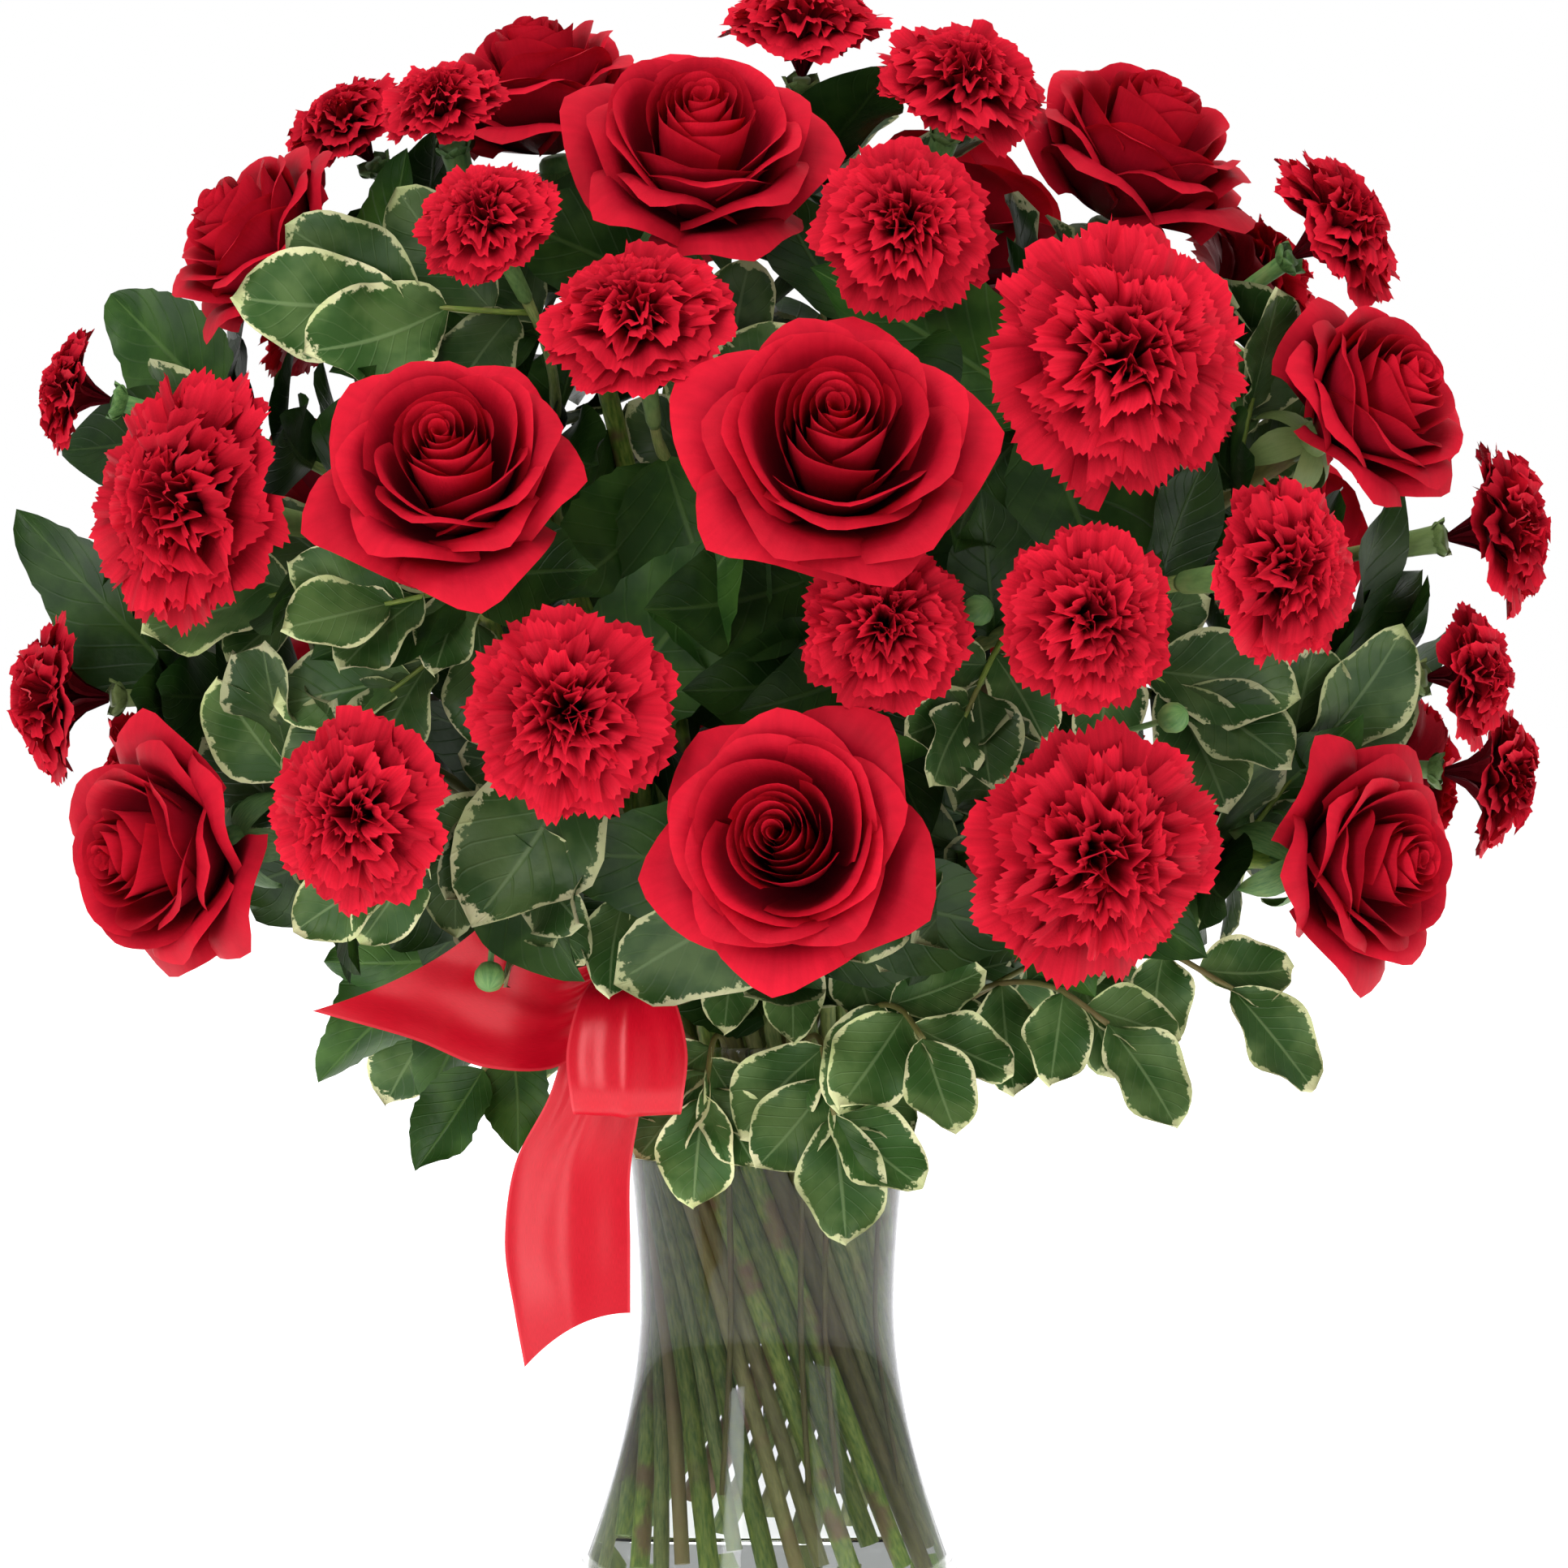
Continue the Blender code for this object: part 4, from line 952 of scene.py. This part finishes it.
def leaf_points(root, axis, up, length, width, plain, seed, stem_point=None, fine=1.0):
    """A fine leaf on the lines of the CAD leaf: folded, waved, toothed or smooth at the edge."""
    rng = np.random.default_rng(seed)
    axis = axis.normalized()
    side = axis.cross(up).normalized()
    up = side.cross(axis)
    columns, rows = (13, 23) if plain else (13, 17)
    columns, rows = 2 * int(columns * fine / 2) + 1, int(rows * fine)
    u = np.linspace(-1, 1, columns)[None, :]
    v = np.linspace(0, 1, rows)[:, None]
    left = 0.11 + 0.11 * np.cos(np.pi * (v - 0.36) / 0.32)
    right = 0.16 - 0.04 * np.cos(np.pi * (v - 0.36) / 0.32)
    rise = np.where(u < 0, left, right) * np.abs(u) ** 1.4 * np.sin(np.pi * v) ** 0.5
    rise = rise - 0.05 * np.sin(np.pi * v)
    if plain:
        outline = np.sin(np.pi * v**0.86) ** 0.80 * (1 - 0.16 * v)
        teeth = 0.045 * (np.abs(((v * 13) % 1) * 2 - 1) * 2 - 1) * (np.abs(u) > 0.97)
        outline = outline * (1 + teeth)
    else:
        outline = np.sin(np.pi * v**1.12) ** 0.62
        phase = rng.uniform(0, ANY_TURN)
        outline = outline * (1 + 0.06 * np.sin(11 * v + phase) * np.sign(u) * (np.abs(u) > 0.7))
        rise = rise + 0.07 * np.sin(13 * v + phase + 1.6 * np.sign(u)) * np.abs(u) ** 3
    stalk = 0.035 * (1 - v) ** 3
    half = width / 2 * (outline * 1.04 + stalk)
    spine = v * length
    drop = LEAF_DROOP * v**2 * length
    bend = rng.uniform(-0.05, 0.05) * length * np.sin(np.pi * v)
    a, s, n = np.array(axis), np.array(side), np.array(up)
    points = (np.array(root) + a * spine[..., None] + s * (u * half + bend)[..., None]
              + n * (rise * width - drop)[..., None])
    if stem_point is not None:
        points = points + np.array(stem_point - root) * ((1 - v) ** 2)[..., None]
    return points, u, v, rng.uniform()


def nearest(points, goal):
    return min(points, key=lambda p: (p - goal).length_squared)


def add_leaf(batch, shade, *shape):
    """A leaf whose own mark lies between the two numbers of its shade, dark to light."""
    points, u, v, own = leaf_points(*shape)
    batch.add(points, u, v, shade[0] + (shade[1] - shade[0]) * own)


def add_spray(stems, cream, root, axis, up, length, seed, stem_point):
    """A twig with five variegated leaves over the place of one large CAD leaf."""
    side = axis.cross(up).normalized()
    stem = [stem_point, root.lerp(root + axis * length * 0.2, 0.5), root + axis * length * 0.5]
    add_tube(stems, stem, [0.0010, 0.0009, 0.0007], 0.5)
    rng = random.Random(seed)
    for k, (start, lean, share) in enumerate(SPRAY_LEAVES):
        base = root + axis * (length * start)
        way = (axis * math.cos(lean) + side * math.sin(lean) + up * rng.uniform(-0.15, 0.3)).normalized()
        size = length * share * rng.uniform(0.9, 1.08)
        face = up + side * rng.uniform(-0.3, 0.3)
        add_leaf(cream, (0, 1), base, way, face, size, size * 0.62, False, seed * 7 + k)


# Leaves of a spray: place along it, lean to its side in radians, and length against its own.
SPRAY_LEAVES = ((0.06, -0.95, 0.50), (0.14, 0.95, 0.52), (0.30, -0.45, 0.56), (0.40, 0.50, 0.55),
                (0.46, 0.0, 0.58))


def sprig_leaves(azimuth, path, length, count, seed):
    """The same leaves as the CAD sprig: root, axis, up, length."""
    chance = random.Random(seed)
    face = facing(azimuth)
    free = path[-TWIG_STEPS - 1:]
    for k in range(count):
        share = (k + 1) / count
        place = 0.25 + 0.75 * share
        step = min(int(place * TWIG_STEPS), TWIG_STEPS - 1)
        root = free[step].lerp(free[step + 1], place * TWIG_STEPS - step)
        along = (free[step + 1] - free[step]).normalized()
        hand = (0.0 if k == count - 1 else 1.0) * (1 if k % 2 else -1)
        side = face.cross(along).normalized()
        axis = along * (0.35 + 0.5 * share) + side * hand * chance.uniform(0.8, 1.1)
        axis += Vector((0, 0, chance.uniform(-0.6, -0.15)))
        up = face + side * hand * 0.25
        yield root, axis, up, length * chance.uniform(0.82, 1.05) * MM


# Directions from which no gap should show through the dome.
SIGHTS = [(azimuth, 0) for azimuth in range(0, 360, 45)] + [
    (20, 0), (-20, 0), (7, 3), (-7, 3), (0, 8), (0, 30), (120, 30), (240, 30), (0, 90)]
CELL = 0.006  # width of a cell in metres
CELLS = 96  # cells across each sight
FILLERS = 250
FILLER_TRIALS = 2600
FILLER_SIZE = 0.78  # length of a filler leaf against that of a leaf on the stems
LEAST_GAIN = 8  # cells that one more leaf has to close


def sight_axes(azimuth, elevation):
    """Level and upright axis of what is seen from a direction."""
    ahead = np.array(direction(azimuth, elevation))
    right = np.array((math.cos(math.radians(azimuth)), math.sin(math.radians(azimuth)), 0.0))
    return right, np.cross(ahead, right)


def cell_of(points):
    """The cell in which each point is seen, for every sight."""
    points = np.asarray(points, float) - np.array(DOME_CENTRE) * MM
    found = []
    for i, (azimuth, elevation) in enumerate(SIGHTS):
        across, up = [np.clip((points @ side / CELL).astype(int) + CELLS // 2, 0, CELLS - 1)
                      for side in sight_axes(azimuth, elevation)]
        found.append((i * CELLS + across) * CELLS + up)
    return np.array(found)


def covered_cells(frames, leaves):
    """The cells that need no more leaves: outside the dome, behind a head or behind a leaf."""
    middles = np.array([f[0] for f in frames.values()] + [around(55, a, 205) for a in range(0, 360, 45)])
    flat = (np.arange(CELLS) - CELLS // 2 + 0.5) * CELL
    grid = np.stack(np.meshgrid(flat, flat, indexing="ij"), -1).reshape(-1, 2)
    turns = np.linspace(0, 2 * math.pi, 24, endpoint=False)
    ways = np.stack([np.cos(turns), np.sin(turns)])
    covered = np.zeros((len(SIGHTS), CELLS * CELLS), dtype=bool)
    for i, (azimuth, elevation) in enumerate(SIGHTS):
        moved = middles - np.array(DOME_CENTRE) * MM
        seen = np.stack([moved @ side for side in sight_axes(azimuth, elevation)], 1)
        covered[i] = ((grid @ ways) > (seen @ ways).max(0) + 0.004).any(1)
        for middle, head in zip(seen, frames.values()):
            covered[i] |= np.linalg.norm(grid - middle, axis=1) < 0.8 * head[1]
    covered = covered.reshape(-1)
    for leaf_made in leaves:
        covered[cell_of(leaf_samples(*leaf_made)).reshape(-1)] = True
    return covered


def leaf_samples(name, root, axis, out, length):
    axis = axis.normalized()
    side = axis.cross(out).normalized()
    return [root + axis * (length * s) + side * (length * d)
            for s in (0.12, 0.25, 0.4, 0.55, 0.7, 0.85, 0.97) for d in (-0.24, -0.1, 0.1, 0.24)
            if abs(d) < 0.2 or 0.2 < s < 0.8]


def filler_leaves(routes, frames, leaves):
    """More leaves deep in the dome, drawn dark as painted shade where its interior shows between the
    heads.

    Each one is the leaf that closes the most gaps, seen from all sides.
    """
    chance = random.Random(SEED + 5)
    made = []
    for trial in range(FILLER_TRIALS):
        middle, (name, root, axis, out, length) = leaf_trial(chance, routes, Vector((0, -0.2, 0)))
        length *= FILLER_SIZE
        side = axis.cross(out).normalized()
        tests = [root + axis * (length * s) for s in (0.35, 0.6, 0.85, 1.0)]
        tests += [root + axis * (length * 0.55) + side * (length * d) for d in (-0.27, 0.27)]
        if min(p.z for p in tests) > LEAF_LOWEST * MM and clear_of_heads(tests, frames, 1.0 * MM):
            made.append((name, root, axis, out, length))
    covered = covered_cells(frames, leaves)
    cells = np.array([cell_of(leaf_samples(*m)).reshape(-1) for m in made])
    found = []
    for k in range(FILLERS):
        gain = (~covered[cells]).sum(1)
        best = int(gain.argmax())
        if gain[best] < LEAST_GAIN:
            break
        covered[cells[best]] = True
        found.append(made[best])
    return found


# Leaves at the mouth: how many, and their least distance from the axis and height in millimetres.
NECK_LEAVES = 54
NECK_REACH = 37
NECK_HEIGHT = 186


def neck_leaves(frames):
    """Leaves that lie round the stems over the mouth of the vase."""
    chance = random.Random(SEED + 9)
    for k in range(NECK_LEAVES):
        azimuth = 360.0 * (k + chance.uniform(-0.3, 0.3)) / NECK_LEAVES
        hand = 1 if k % 2 else -1
        root = around(NECK_REACH + (k % 3) * 5, azimuth, NECK_HEIGHT + (k * 7) % 22)
        axis = direction(azimuth + hand * chance.uniform(25, 80), chance.uniform(-28, 42))
        out = direction(azimuth + hand * 20, 25)
        length = chance.uniform(30, 44) * MM
        tests = [root + axis * (length * s) for s in (0.4, 0.7, 1.0)]
        if clear_of_heads(tests, frames, 1.0 * MM):
            yield root, axis, out, length


# Glass, water, ribbon


LATHE_SIDES = 96
AXIS = 0.02  # the turned bodies start this near to the axis, in millimetres


def lathe(batch, outline):
    """Closed turned body; the outline starts and ends near the axis."""
    angle = np.linspace(0, 2 * math.pi, LATHE_SIDES, endpoint=False)
    outline = np.array(outline) * MM
    ring = np.stack([np.cos(angle), np.sin(angle), 0 * angle], -1)
    points = outline[:, :1, None] * ring[None] + np.array([0, 0, 1.0]) * outline[:, 1:2, None]
    batch.add(points, 0.0, 0.0, 0.5, wrap=True)


def curve_through(rows, steps):
    """Points on a smooth curve through the rows, steps between each two."""
    rows = np.array(rows, float)
    ends = np.concatenate([[2 * rows[0] - rows[1]], rows, [2 * rows[-1] - rows[-2]]])
    found = []
    for i in range(len(rows) - 1):
        a, b, c, d = ends[i:i + 4]
        for t in np.arange(steps) / steps:
            found.append(0.5 * (2 * b + (c - a) * t + (2 * a - 5 * b + 4 * c - d) * t**2
                                + (3 * b - a - 3 * c + d) * t**3))
    found.append(rows[-1])
    return np.array(found)


def cut_end(pairs, tip):
    """The pairs with one edge run on to the tip, so that the cut lies on the slant."""
    (a0, b0), (a1, b1) = pairs[-2:]
    tip = np.array(tip, float)
    if np.linalg.norm(tip - a1) < np.linalg.norm(tip - b1):
        return [*pairs[:-1], (a1, np.array(b0) * 0.45 + np.array(b1) * 0.55), (tip, b1)]
    return [*pairs[:-1], (np.array(a0) * 0.45 + np.array(a1) * 0.55, b1), (a1, tip)]


RIBBON_WIDTH = 38.0
STRIP_STEPS = 8  # points between each two pairs of the edges
STRIP_COLUMNS = 25
CUT_HOLLOW = 4.0


def strip_points(pairs, crown, ridge, tip):
    """A ribbon between its two edges: crowned across, and pleated where it is drawn together.

    A strip without a tip is the loop, whose folds lie across it.
    """
    if tip is not None:
        pairs = cut_end(pairs, tip)
    lines = curve_through([np.concatenate([a, b]) for a, b in pairs], STRIP_STEPS)
    left, right = lines[:, :3], lines[:, 3:]
    u = np.linspace(-1, 1, STRIP_COLUMNS)
    share = (u[None, :, None] + 1) / 2
    points = left[:, None] * (1 - share) + right[:, None] * share
    along = np.gradient((left + right) / 2, axis=0)
    along /= np.linalg.norm(along, axis=1)[:, None]
    across = right - left
    normal = np.cross(along, across)
    normal /= np.linalg.norm(normal, axis=1)[:, None]
    wide = np.minimum(1.0, np.linalg.norm(across, axis=1) / RIBBON_WIDTH)[:, None]
    swell = crown * wide * (1 - u[None, :] ** 2)
    swell = swell + ridge * wide**2 * np.cos(2.2 * np.pi * u[None, :]) * (1 - u[None, :] ** 4)
    swell = swell + 2.6 * (1 - wide) ** 1.5 * np.cos(4 * np.pi * u[None, :])
    if tip is None:
        # a fold that lies across the ribbon stays straight
        swell = swell * np.abs(along[:, 2:]) ** 2
    points = points + normal[:, None] * swell[..., None]
    if tip is not None:
        # the cut edge is hollow
        back = CUT_HOLLOW * (np.arange(len(points)) / (len(points) - 1)) ** 12
        points = points - along[:, None] * (back[:, None] * (1 - u[None, :] ** 2))[..., None]
    return points * MM


# How much further back each pair of the loop lies than in the CAD model, in millimetres.
LOOP_FULLNESS = (0.0, 1.0, 2.0, -2.5, -4.5, -2.0, 0.0, 0.0)
# Leaves over the knot and over the rim in front: root, tip and width in millimetres.
KNOT_LEAVES = (
    ((-41, -80, 226), (-45, -95, 198), 19),
    ((-38, -80, 224), (-24, -92, 201), 15),
    ((-70, -96, 238), (-52, -94, 206), 18),
    ((-30, -78, 222), (-8, -90, 208), 15),
    ((-8, -58, 212), (-12, -76, 186), 17),
    ((6, -56, 212), (8, -74, 183), 18),
    ((24, -54, 212), (34, -68, 184), 19),
    ((40, -46, 208), (54, -60, 186), 17),
)
# Leaves of the dome, by their number, that are drawn as a spray of cream-edged leaves.
CREAM_SPOTS = (2, 5, 6, 7, 8, 9, 10, 14, 18, 20, 22, 25, 29, 30, 31)
BROAD_LEAF = 0.6  # width against length
# A bud from its stalk to its tip: place along it and half width, against its size.
BUD_SHAPE = ((0.0, 0.30), (0.15, 0.75), (0.4, 0.98), (0.6, 1.0), (0.8, 0.82), (0.93, 0.5), (1.0, 0.12))


def add_heads(frames, looks):
    """The petals of each bloom, as a piece of its own."""
    draw = {ROSE: rose_head, CARNATION: carnation_head}
    for i, (name, (centre, half, rotation, axis, kind)) in enumerate(frames.items()):
        batch = Batch()
        draw[kind](batch, np.random.default_rng(SEED + 100 + i), centre, half, rotation)
        batch.piece(name + "_petals", [looks[kind + "_petal"]], kind + "_petal", name)


def add_bud(stems, start, centre):
    """A green bud on a bent stalk."""
    middle = start.lerp(centre, 0.5) + Vector((0, 0, 0.006))
    stalk = [start, start.lerp(middle, 0.5), middle, middle.lerp(centre, 0.5), centre]
    add_tube(stems, stalk, [BUD_STALK / 2 * MM] * len(stalk), 0.6, 2)
    way = (centre - start).normalized() * (BUD_WIDTH * MM)
    add_tube(stems, [centre - way * 0.5 + way * s for s, w in BUD_SHAPE],
             [w * BUD_WIDTH / 2 * MM for s, w in BUD_SHAPE], 0.9, 2, 16)


def add_dome(frames, looks):
    """The stems with their buds, and all leaves between and under the heads."""
    routes = stem_routes(frames)
    chance = np.random.default_rng(SEED)
    stems, plain, cream = Batch(), Batch(), Batch()
    for route in routes.values():
        add_stem(stems, chance, route)
    bends = {n: smooth_route(r, 60) for n, r in routes.items()}
    leaves = dome_leaves(routes, frames)
    for i, (name, root, axis, out, length) in enumerate(leaves):
        on_stem = nearest(bends[name], root)
        if i in CREAM_SPOTS:
            add_spray(stems, cream, root, axis, out, length, 500 + i, on_stem)
        else:
            width = length * LEAF_WIDTH_SHARE
            add_leaf(plain, (0, 1), root, axis, out, length, width, True, 300 + i, on_stem)
    for i, (name, root, axis, out, length) in enumerate(filler_leaves(routes, frames, leaves)):
        # filler leaves get low own marks, which draw them dark: painted shade of the dome's interior
        is_plain = i % 4 > 0
        batch, shade = (plain, (0, 0.2)) if is_plain else (cream, (0, 0.5))
        on_stem = nearest(bends[name], root)
        width = length * BROAD_LEAF
        add_leaf(batch, shade, root, axis, out, length, width, is_plain, 2000 + i, on_stem, 0.7)
    for i, (root, axis, out, length) in enumerate(neck_leaves(frames)):
        is_plain = i % 3 == 0
        batch = plain if is_plain else cream
        add_leaf(batch, (0, 0.7), root, axis, out, length, length * BROAD_LEAF, is_plain, 3000 + i)
    for i, (root, tip, width) in enumerate(KNOT_LEAVES):
        axis = Vector(tip) - Vector(root)
        out = Vector((0.1, -1, 0.35))
        length = axis.length * MM
        add_leaf(cream, (0.8, 0.8), Vector(root) * MM, axis, out, length, width * MM, False, 4000 + i)
    for name, share, place in BUDS:
        start = nearest(bends[name], on_bend(routes[name], share)[0])
        add_bud(stems, start, Vector(place) * MM)
    stems.piece("flower_stems", [looks[look[0]] for look in STEM_LOOKS], "stem_green", "stems")
    plain.piece("plain_leaves", [looks["plain_leaf"]], "plain_leaf")
    cream.piece("cream_edged_leaves", [looks["variegated_leaf"]], "variegated_leaf")


def add_sprigs(looks):
    """The sprigs over the rim, each with its twig."""
    for i, (name, azimuth, reach, height, length, count, is_plain) in enumerate(SPRIGS):
        path = twig_path(azimuth, reach, height)
        batch = Batch()
        line = curve_through([tuple(p) for p in path], 5)
        add_tube(batch, line, [TWIG_WIDTH / 2 * MM] * len(line), 0.4, 1)
        for k, (root, axis, up, size) in enumerate(sprig_leaves(azimuth, path, length, count, SEED + i)):
            on_twig = nearest([Vector(p) for p in line], root)
            width = size * SPRIG_LEAF_SHARE
            add_leaf(batch, (0.6, 1.2), root, axis, up, size, width, is_plain, 900 + 20 * i + k, on_twig)
        look = "plain_leaf" if is_plain else "variegated_leaf"
        batch.piece(name + "_leaves", [looks[look], looks["rose_stem"]], look, name)


def add_glass():
    """The vase: wall and foot outside, floor and wall inside, closed over the rim."""
    heights = [VASE_HEIGHT - 0.7] + [float(z) for z in np.linspace(VASE_HEIGHT - 4, FOOT_HEIGHT, 40)]
    outer = [(flare(z), z) for z in heights]
    curl = [(flare(FOOT_HEIGHT) - FOOT_ROUNDING * (1 - math.cos(a)), FOOT_HEIGHT * (1 - math.sin(a)))
            for a in np.linspace(0, math.pi / 2, 7)[1:]]
    inner = [(flare(z) - VASE_WALL, z) for z in heights if z > VASE_FLOOR + 3]
    rim = [(flare(VASE_HEIGHT) - VASE_WALL + 0.5, VASE_HEIGHT), (flare(VASE_HEIGHT) - 0.5, VASE_HEIGHT)]
    low = inner[-1][0]
    bottom = [(low - 4.5, VASE_FLOOR), (low - 2.0, VASE_FLOOR + 0.4), (low - 0.4, VASE_FLOOR + 1.6)]
    glass = Batch()
    lathe(glass, [(AXIS, VASE_FLOOR), (20, VASE_FLOOR), *bottom, *inner[::-1], *rim, *outer, *curl,
                  (20, 0.0), (AXIS, 0.0)])
    # the second, darker tint is painted shade of the stems inside, above the foot
    look = clear_material("clear_glass", 1.20, (0.93, 0.94, 0.94), (0.82, 0.82, 0.85), (22.0, 1.0),
                          (0.03, 0.002))
    glass.piece("glass_vase", [look], "clear_glass", "vase")


def add_water():
    """The water, with a meniscus at its rim and a small gap to the glass."""
    gap = GAP / MM
    levels = [float(z) for z in np.linspace(WATER_LEVEL, VASE_FLOOR + 4, 24)]
    side = [(flare(z) - VASE_WALL - gap, z) for z in levels]
    high, low, floor = side[0][0], side[-1][0], VASE_FLOOR + gap
    top = [(AXIS, WATER_LEVEL - 0.9), (20, WATER_LEVEL - 0.9), (high - 3.0, WATER_LEVEL - 0.8),
           (high - 0.8, WATER_LEVEL - 0.4)]
    base = [(low - 0.5, VASE_FLOOR + 1.8), (low - 2.4, VASE_FLOOR + 0.6), (low - 5.0, floor), (20, floor),
            (AXIS, floor)]
    pool = Batch()
    lathe(pool, [*top, *side, *base])
    # the second, darker tint is painted shade of the stems in the water, above the foot
    look = clear_material("clear_water", 1.25, (0.97, 0.99, 0.97), (0.86, 0.86, 0.89), (30.0, 2.0),
                          (0.02, 0.001))
    pool.piece("water_body", [look], "clear_water", "water")


def add_bow():
    """The ribbon's loop, its two tails and its knot."""
    ribbon = Batch()
    loop = [[(x, y + more, z) for x, y, z in pair] for pair, more in zip(LOOP, LOOP_FULLNESS)]
    strips = ((loop, 5.0, 1.2, None), (SIDE_TAIL, -3.0, 0.5, SIDE_TIP),
              (HANGING_TAIL, 2.5, 0.4, HANGING_TIP))
    for pairs, crown, ridge, tip in strips:
        points = strip_points(pairs, crown, ridge, tip)
        run = np.arange(points.shape[0])[:, None] * 0.1
        ribbon.add(points, np.linspace(-1, 1, points.shape[1])[None, :], run, 0.5)
    lat = np.linspace(-1.45, 1.45, 13)[:, None]
    lon = np.linspace(0, 2 * math.pi, 28, endpoint=False)[None, :]
    pinch = 1 - 0.10 * np.cos(5 * lon) ** 2
    ball = np.stack([np.cos(lat) * np.cos(lon) * pinch, np.cos(lat) * np.sin(lon) * pinch,
                     np.sin(lat) + 0 * lon], -1)
    knot = ball * (np.array(KNOT_SIZE) * MM) * 0.9 + np.array(KNOT_PLACE) * MM
    ribbon.add(knot, np.cos(lon) * 0.8 + 0 * lat, lat + 0 * lon, 0.5, wrap=True)
    bow = ribbon.piece("satin_bow", [satin_material()], "satin_ribbon", "ribbon_bow")


def add_pick():
    """The pick from inside the glass over its rim to the knot."""
    rise = [around(r, PICK_AZIMUTH, z) for r, z in TWIG_RISE[3:]]
    over = around(TWIG_OVER_RIM[0], PICK_AZIMUTH, TWIG_OVER_RIM[1])
    back = Vector(KNOT_PLACE) * MM
    path = [*rise, over, back + (over - back).normalized() * (KNOT_SIZE[1] + 0.1) * MM]
    line = curve_through([tuple(p) for p in path], 4)
    stick = Batch()
    add_tube(stick, line, [PICK_WIDTH / 2 * MM] * len(line), 0.5)
    stick.piece("wooden_pick", [wood_material()], "pick_wood", "bow_pick")


def main_pieces():
    looks = {look[0]: petal_material(*look) for look in PETAL_LOOKS}
    looks.update({look[0]: leaf_material(*look) for look in LEAF_LOOKS})
    looks.update({look[0]: stem_material(*look) for look in STEM_LOOKS})
    frames = head_frames()
    add_heads(frames, looks)
    add_dome(frames, looks)
    add_sprigs(looks)
    add_glass()
    add_water()
    add_bow()
    add_pick()


FLOOR_HALF_WIDTH = 6.0
BACKDROP_LIGHT = 0.42  # strength with which the backdrop lights the flowers


def stage_and_light():
    """A white floor and backdrop, and four lamps."""
    mesh = bpy.data.meshes.new("floor")
    signs = ((-1, -1), (1, -1), (1, 1), (-1, 1))
    corners = [(x * FLOOR_HALF_WIDTH, y * FLOOR_HALF_WIDTH, 0) for x, y in signs]
    mesh.from_pydata(corners, [], [(0, 1, 2, 3)])
    floor = bpy.data.objects.new("floor", mesh)
    mesh.materials.append(floor_material())
    bpy.context.scene.collection.objects.link(floor)

    world = bpy.data.worlds.new("studio")
    bpy.context.scene.world = world
    world.use_nodes = True
    nodes, links = world.node_tree.nodes, world.node_tree.links
    sky = nodes["Background"]
    sky.inputs["Color"].default_value = (1, 1, 1, 1)
    # the backdrop is white to the eye and lights the flowers more softly than it looks
    seen = nodes.new("ShaderNodeLightPath")
    share = nodes.new("ShaderNodeMapRange")
    share.inputs["To Min"].default_value = BACKDROP_LIGHT
    share.inputs["To Max"].default_value = 1.0
    links.new(seen.outputs["Is Camera Ray"], share.inputs["Value"])
    links.new(share.outputs["Result"], sky.inputs["Strength"])

    def area(name, place, size, power, tall=None):
        """A square lamp; a tall one also shows as a highlight."""
        light = bpy.data.lights.new(name, "AREA")
        light.size = size
        if tall:
            light.shape = "RECTANGLE"
            light.size_y = tall
        light.energy = power
        lamp = bpy.data.objects.new(name, light)
        lamp.location = place
        lamp.visible_glossy = tall is not None
        lamp.rotation_euler = (Vector((0, 0, 0.3)) - lamp.location).to_track_quat("-Z", "Y").to_euler()
        bpy.context.scene.collection.objects.link(lamp)

    area("top", Vector((0.0, -0.5, 2.9)), 2.6, 60)
    area("key", Vector((-1.0, -2.2, 1.35)), 0.55, 28, 2.0)
    area("fill", Vector((1.7, -1.5, 0.7)), 1.0, 8)
    area("behind", Vector((0.3, 2.4, 1.6)), 1.6, 22)


VIEW_DISTANCE = 2.2
VIEW_ELEVATION = 3.0
VIEW_CENTRE = (0.0051, 0.0, 0.2537)
VIEW_WIDTH = 0.4733


def camera():
    """The view of the photograph, from slightly above."""
    data = bpy.data.cameras.new("photo_view")
    data.sensor_width = 36.0
    data.lens = 36.0 * VIEW_DISTANCE / VIEW_WIDTH
    made = bpy.data.objects.new("photo_view", data)
    centre = Vector(VIEW_CENTRE)
    made.location = centre + direction(0, VIEW_ELEVATION) * VIEW_DISTANCE
    made.rotation_euler = (centre - made.location).to_track_quat("-Z", "Y").to_euler()
    bpy.context.scene.collection.objects.link(made)
    bpy.context.scene.camera = made


camera()
stage_and_light()
main_pieces()
bpy.context.scene.view_settings.view_transform = "Standard"
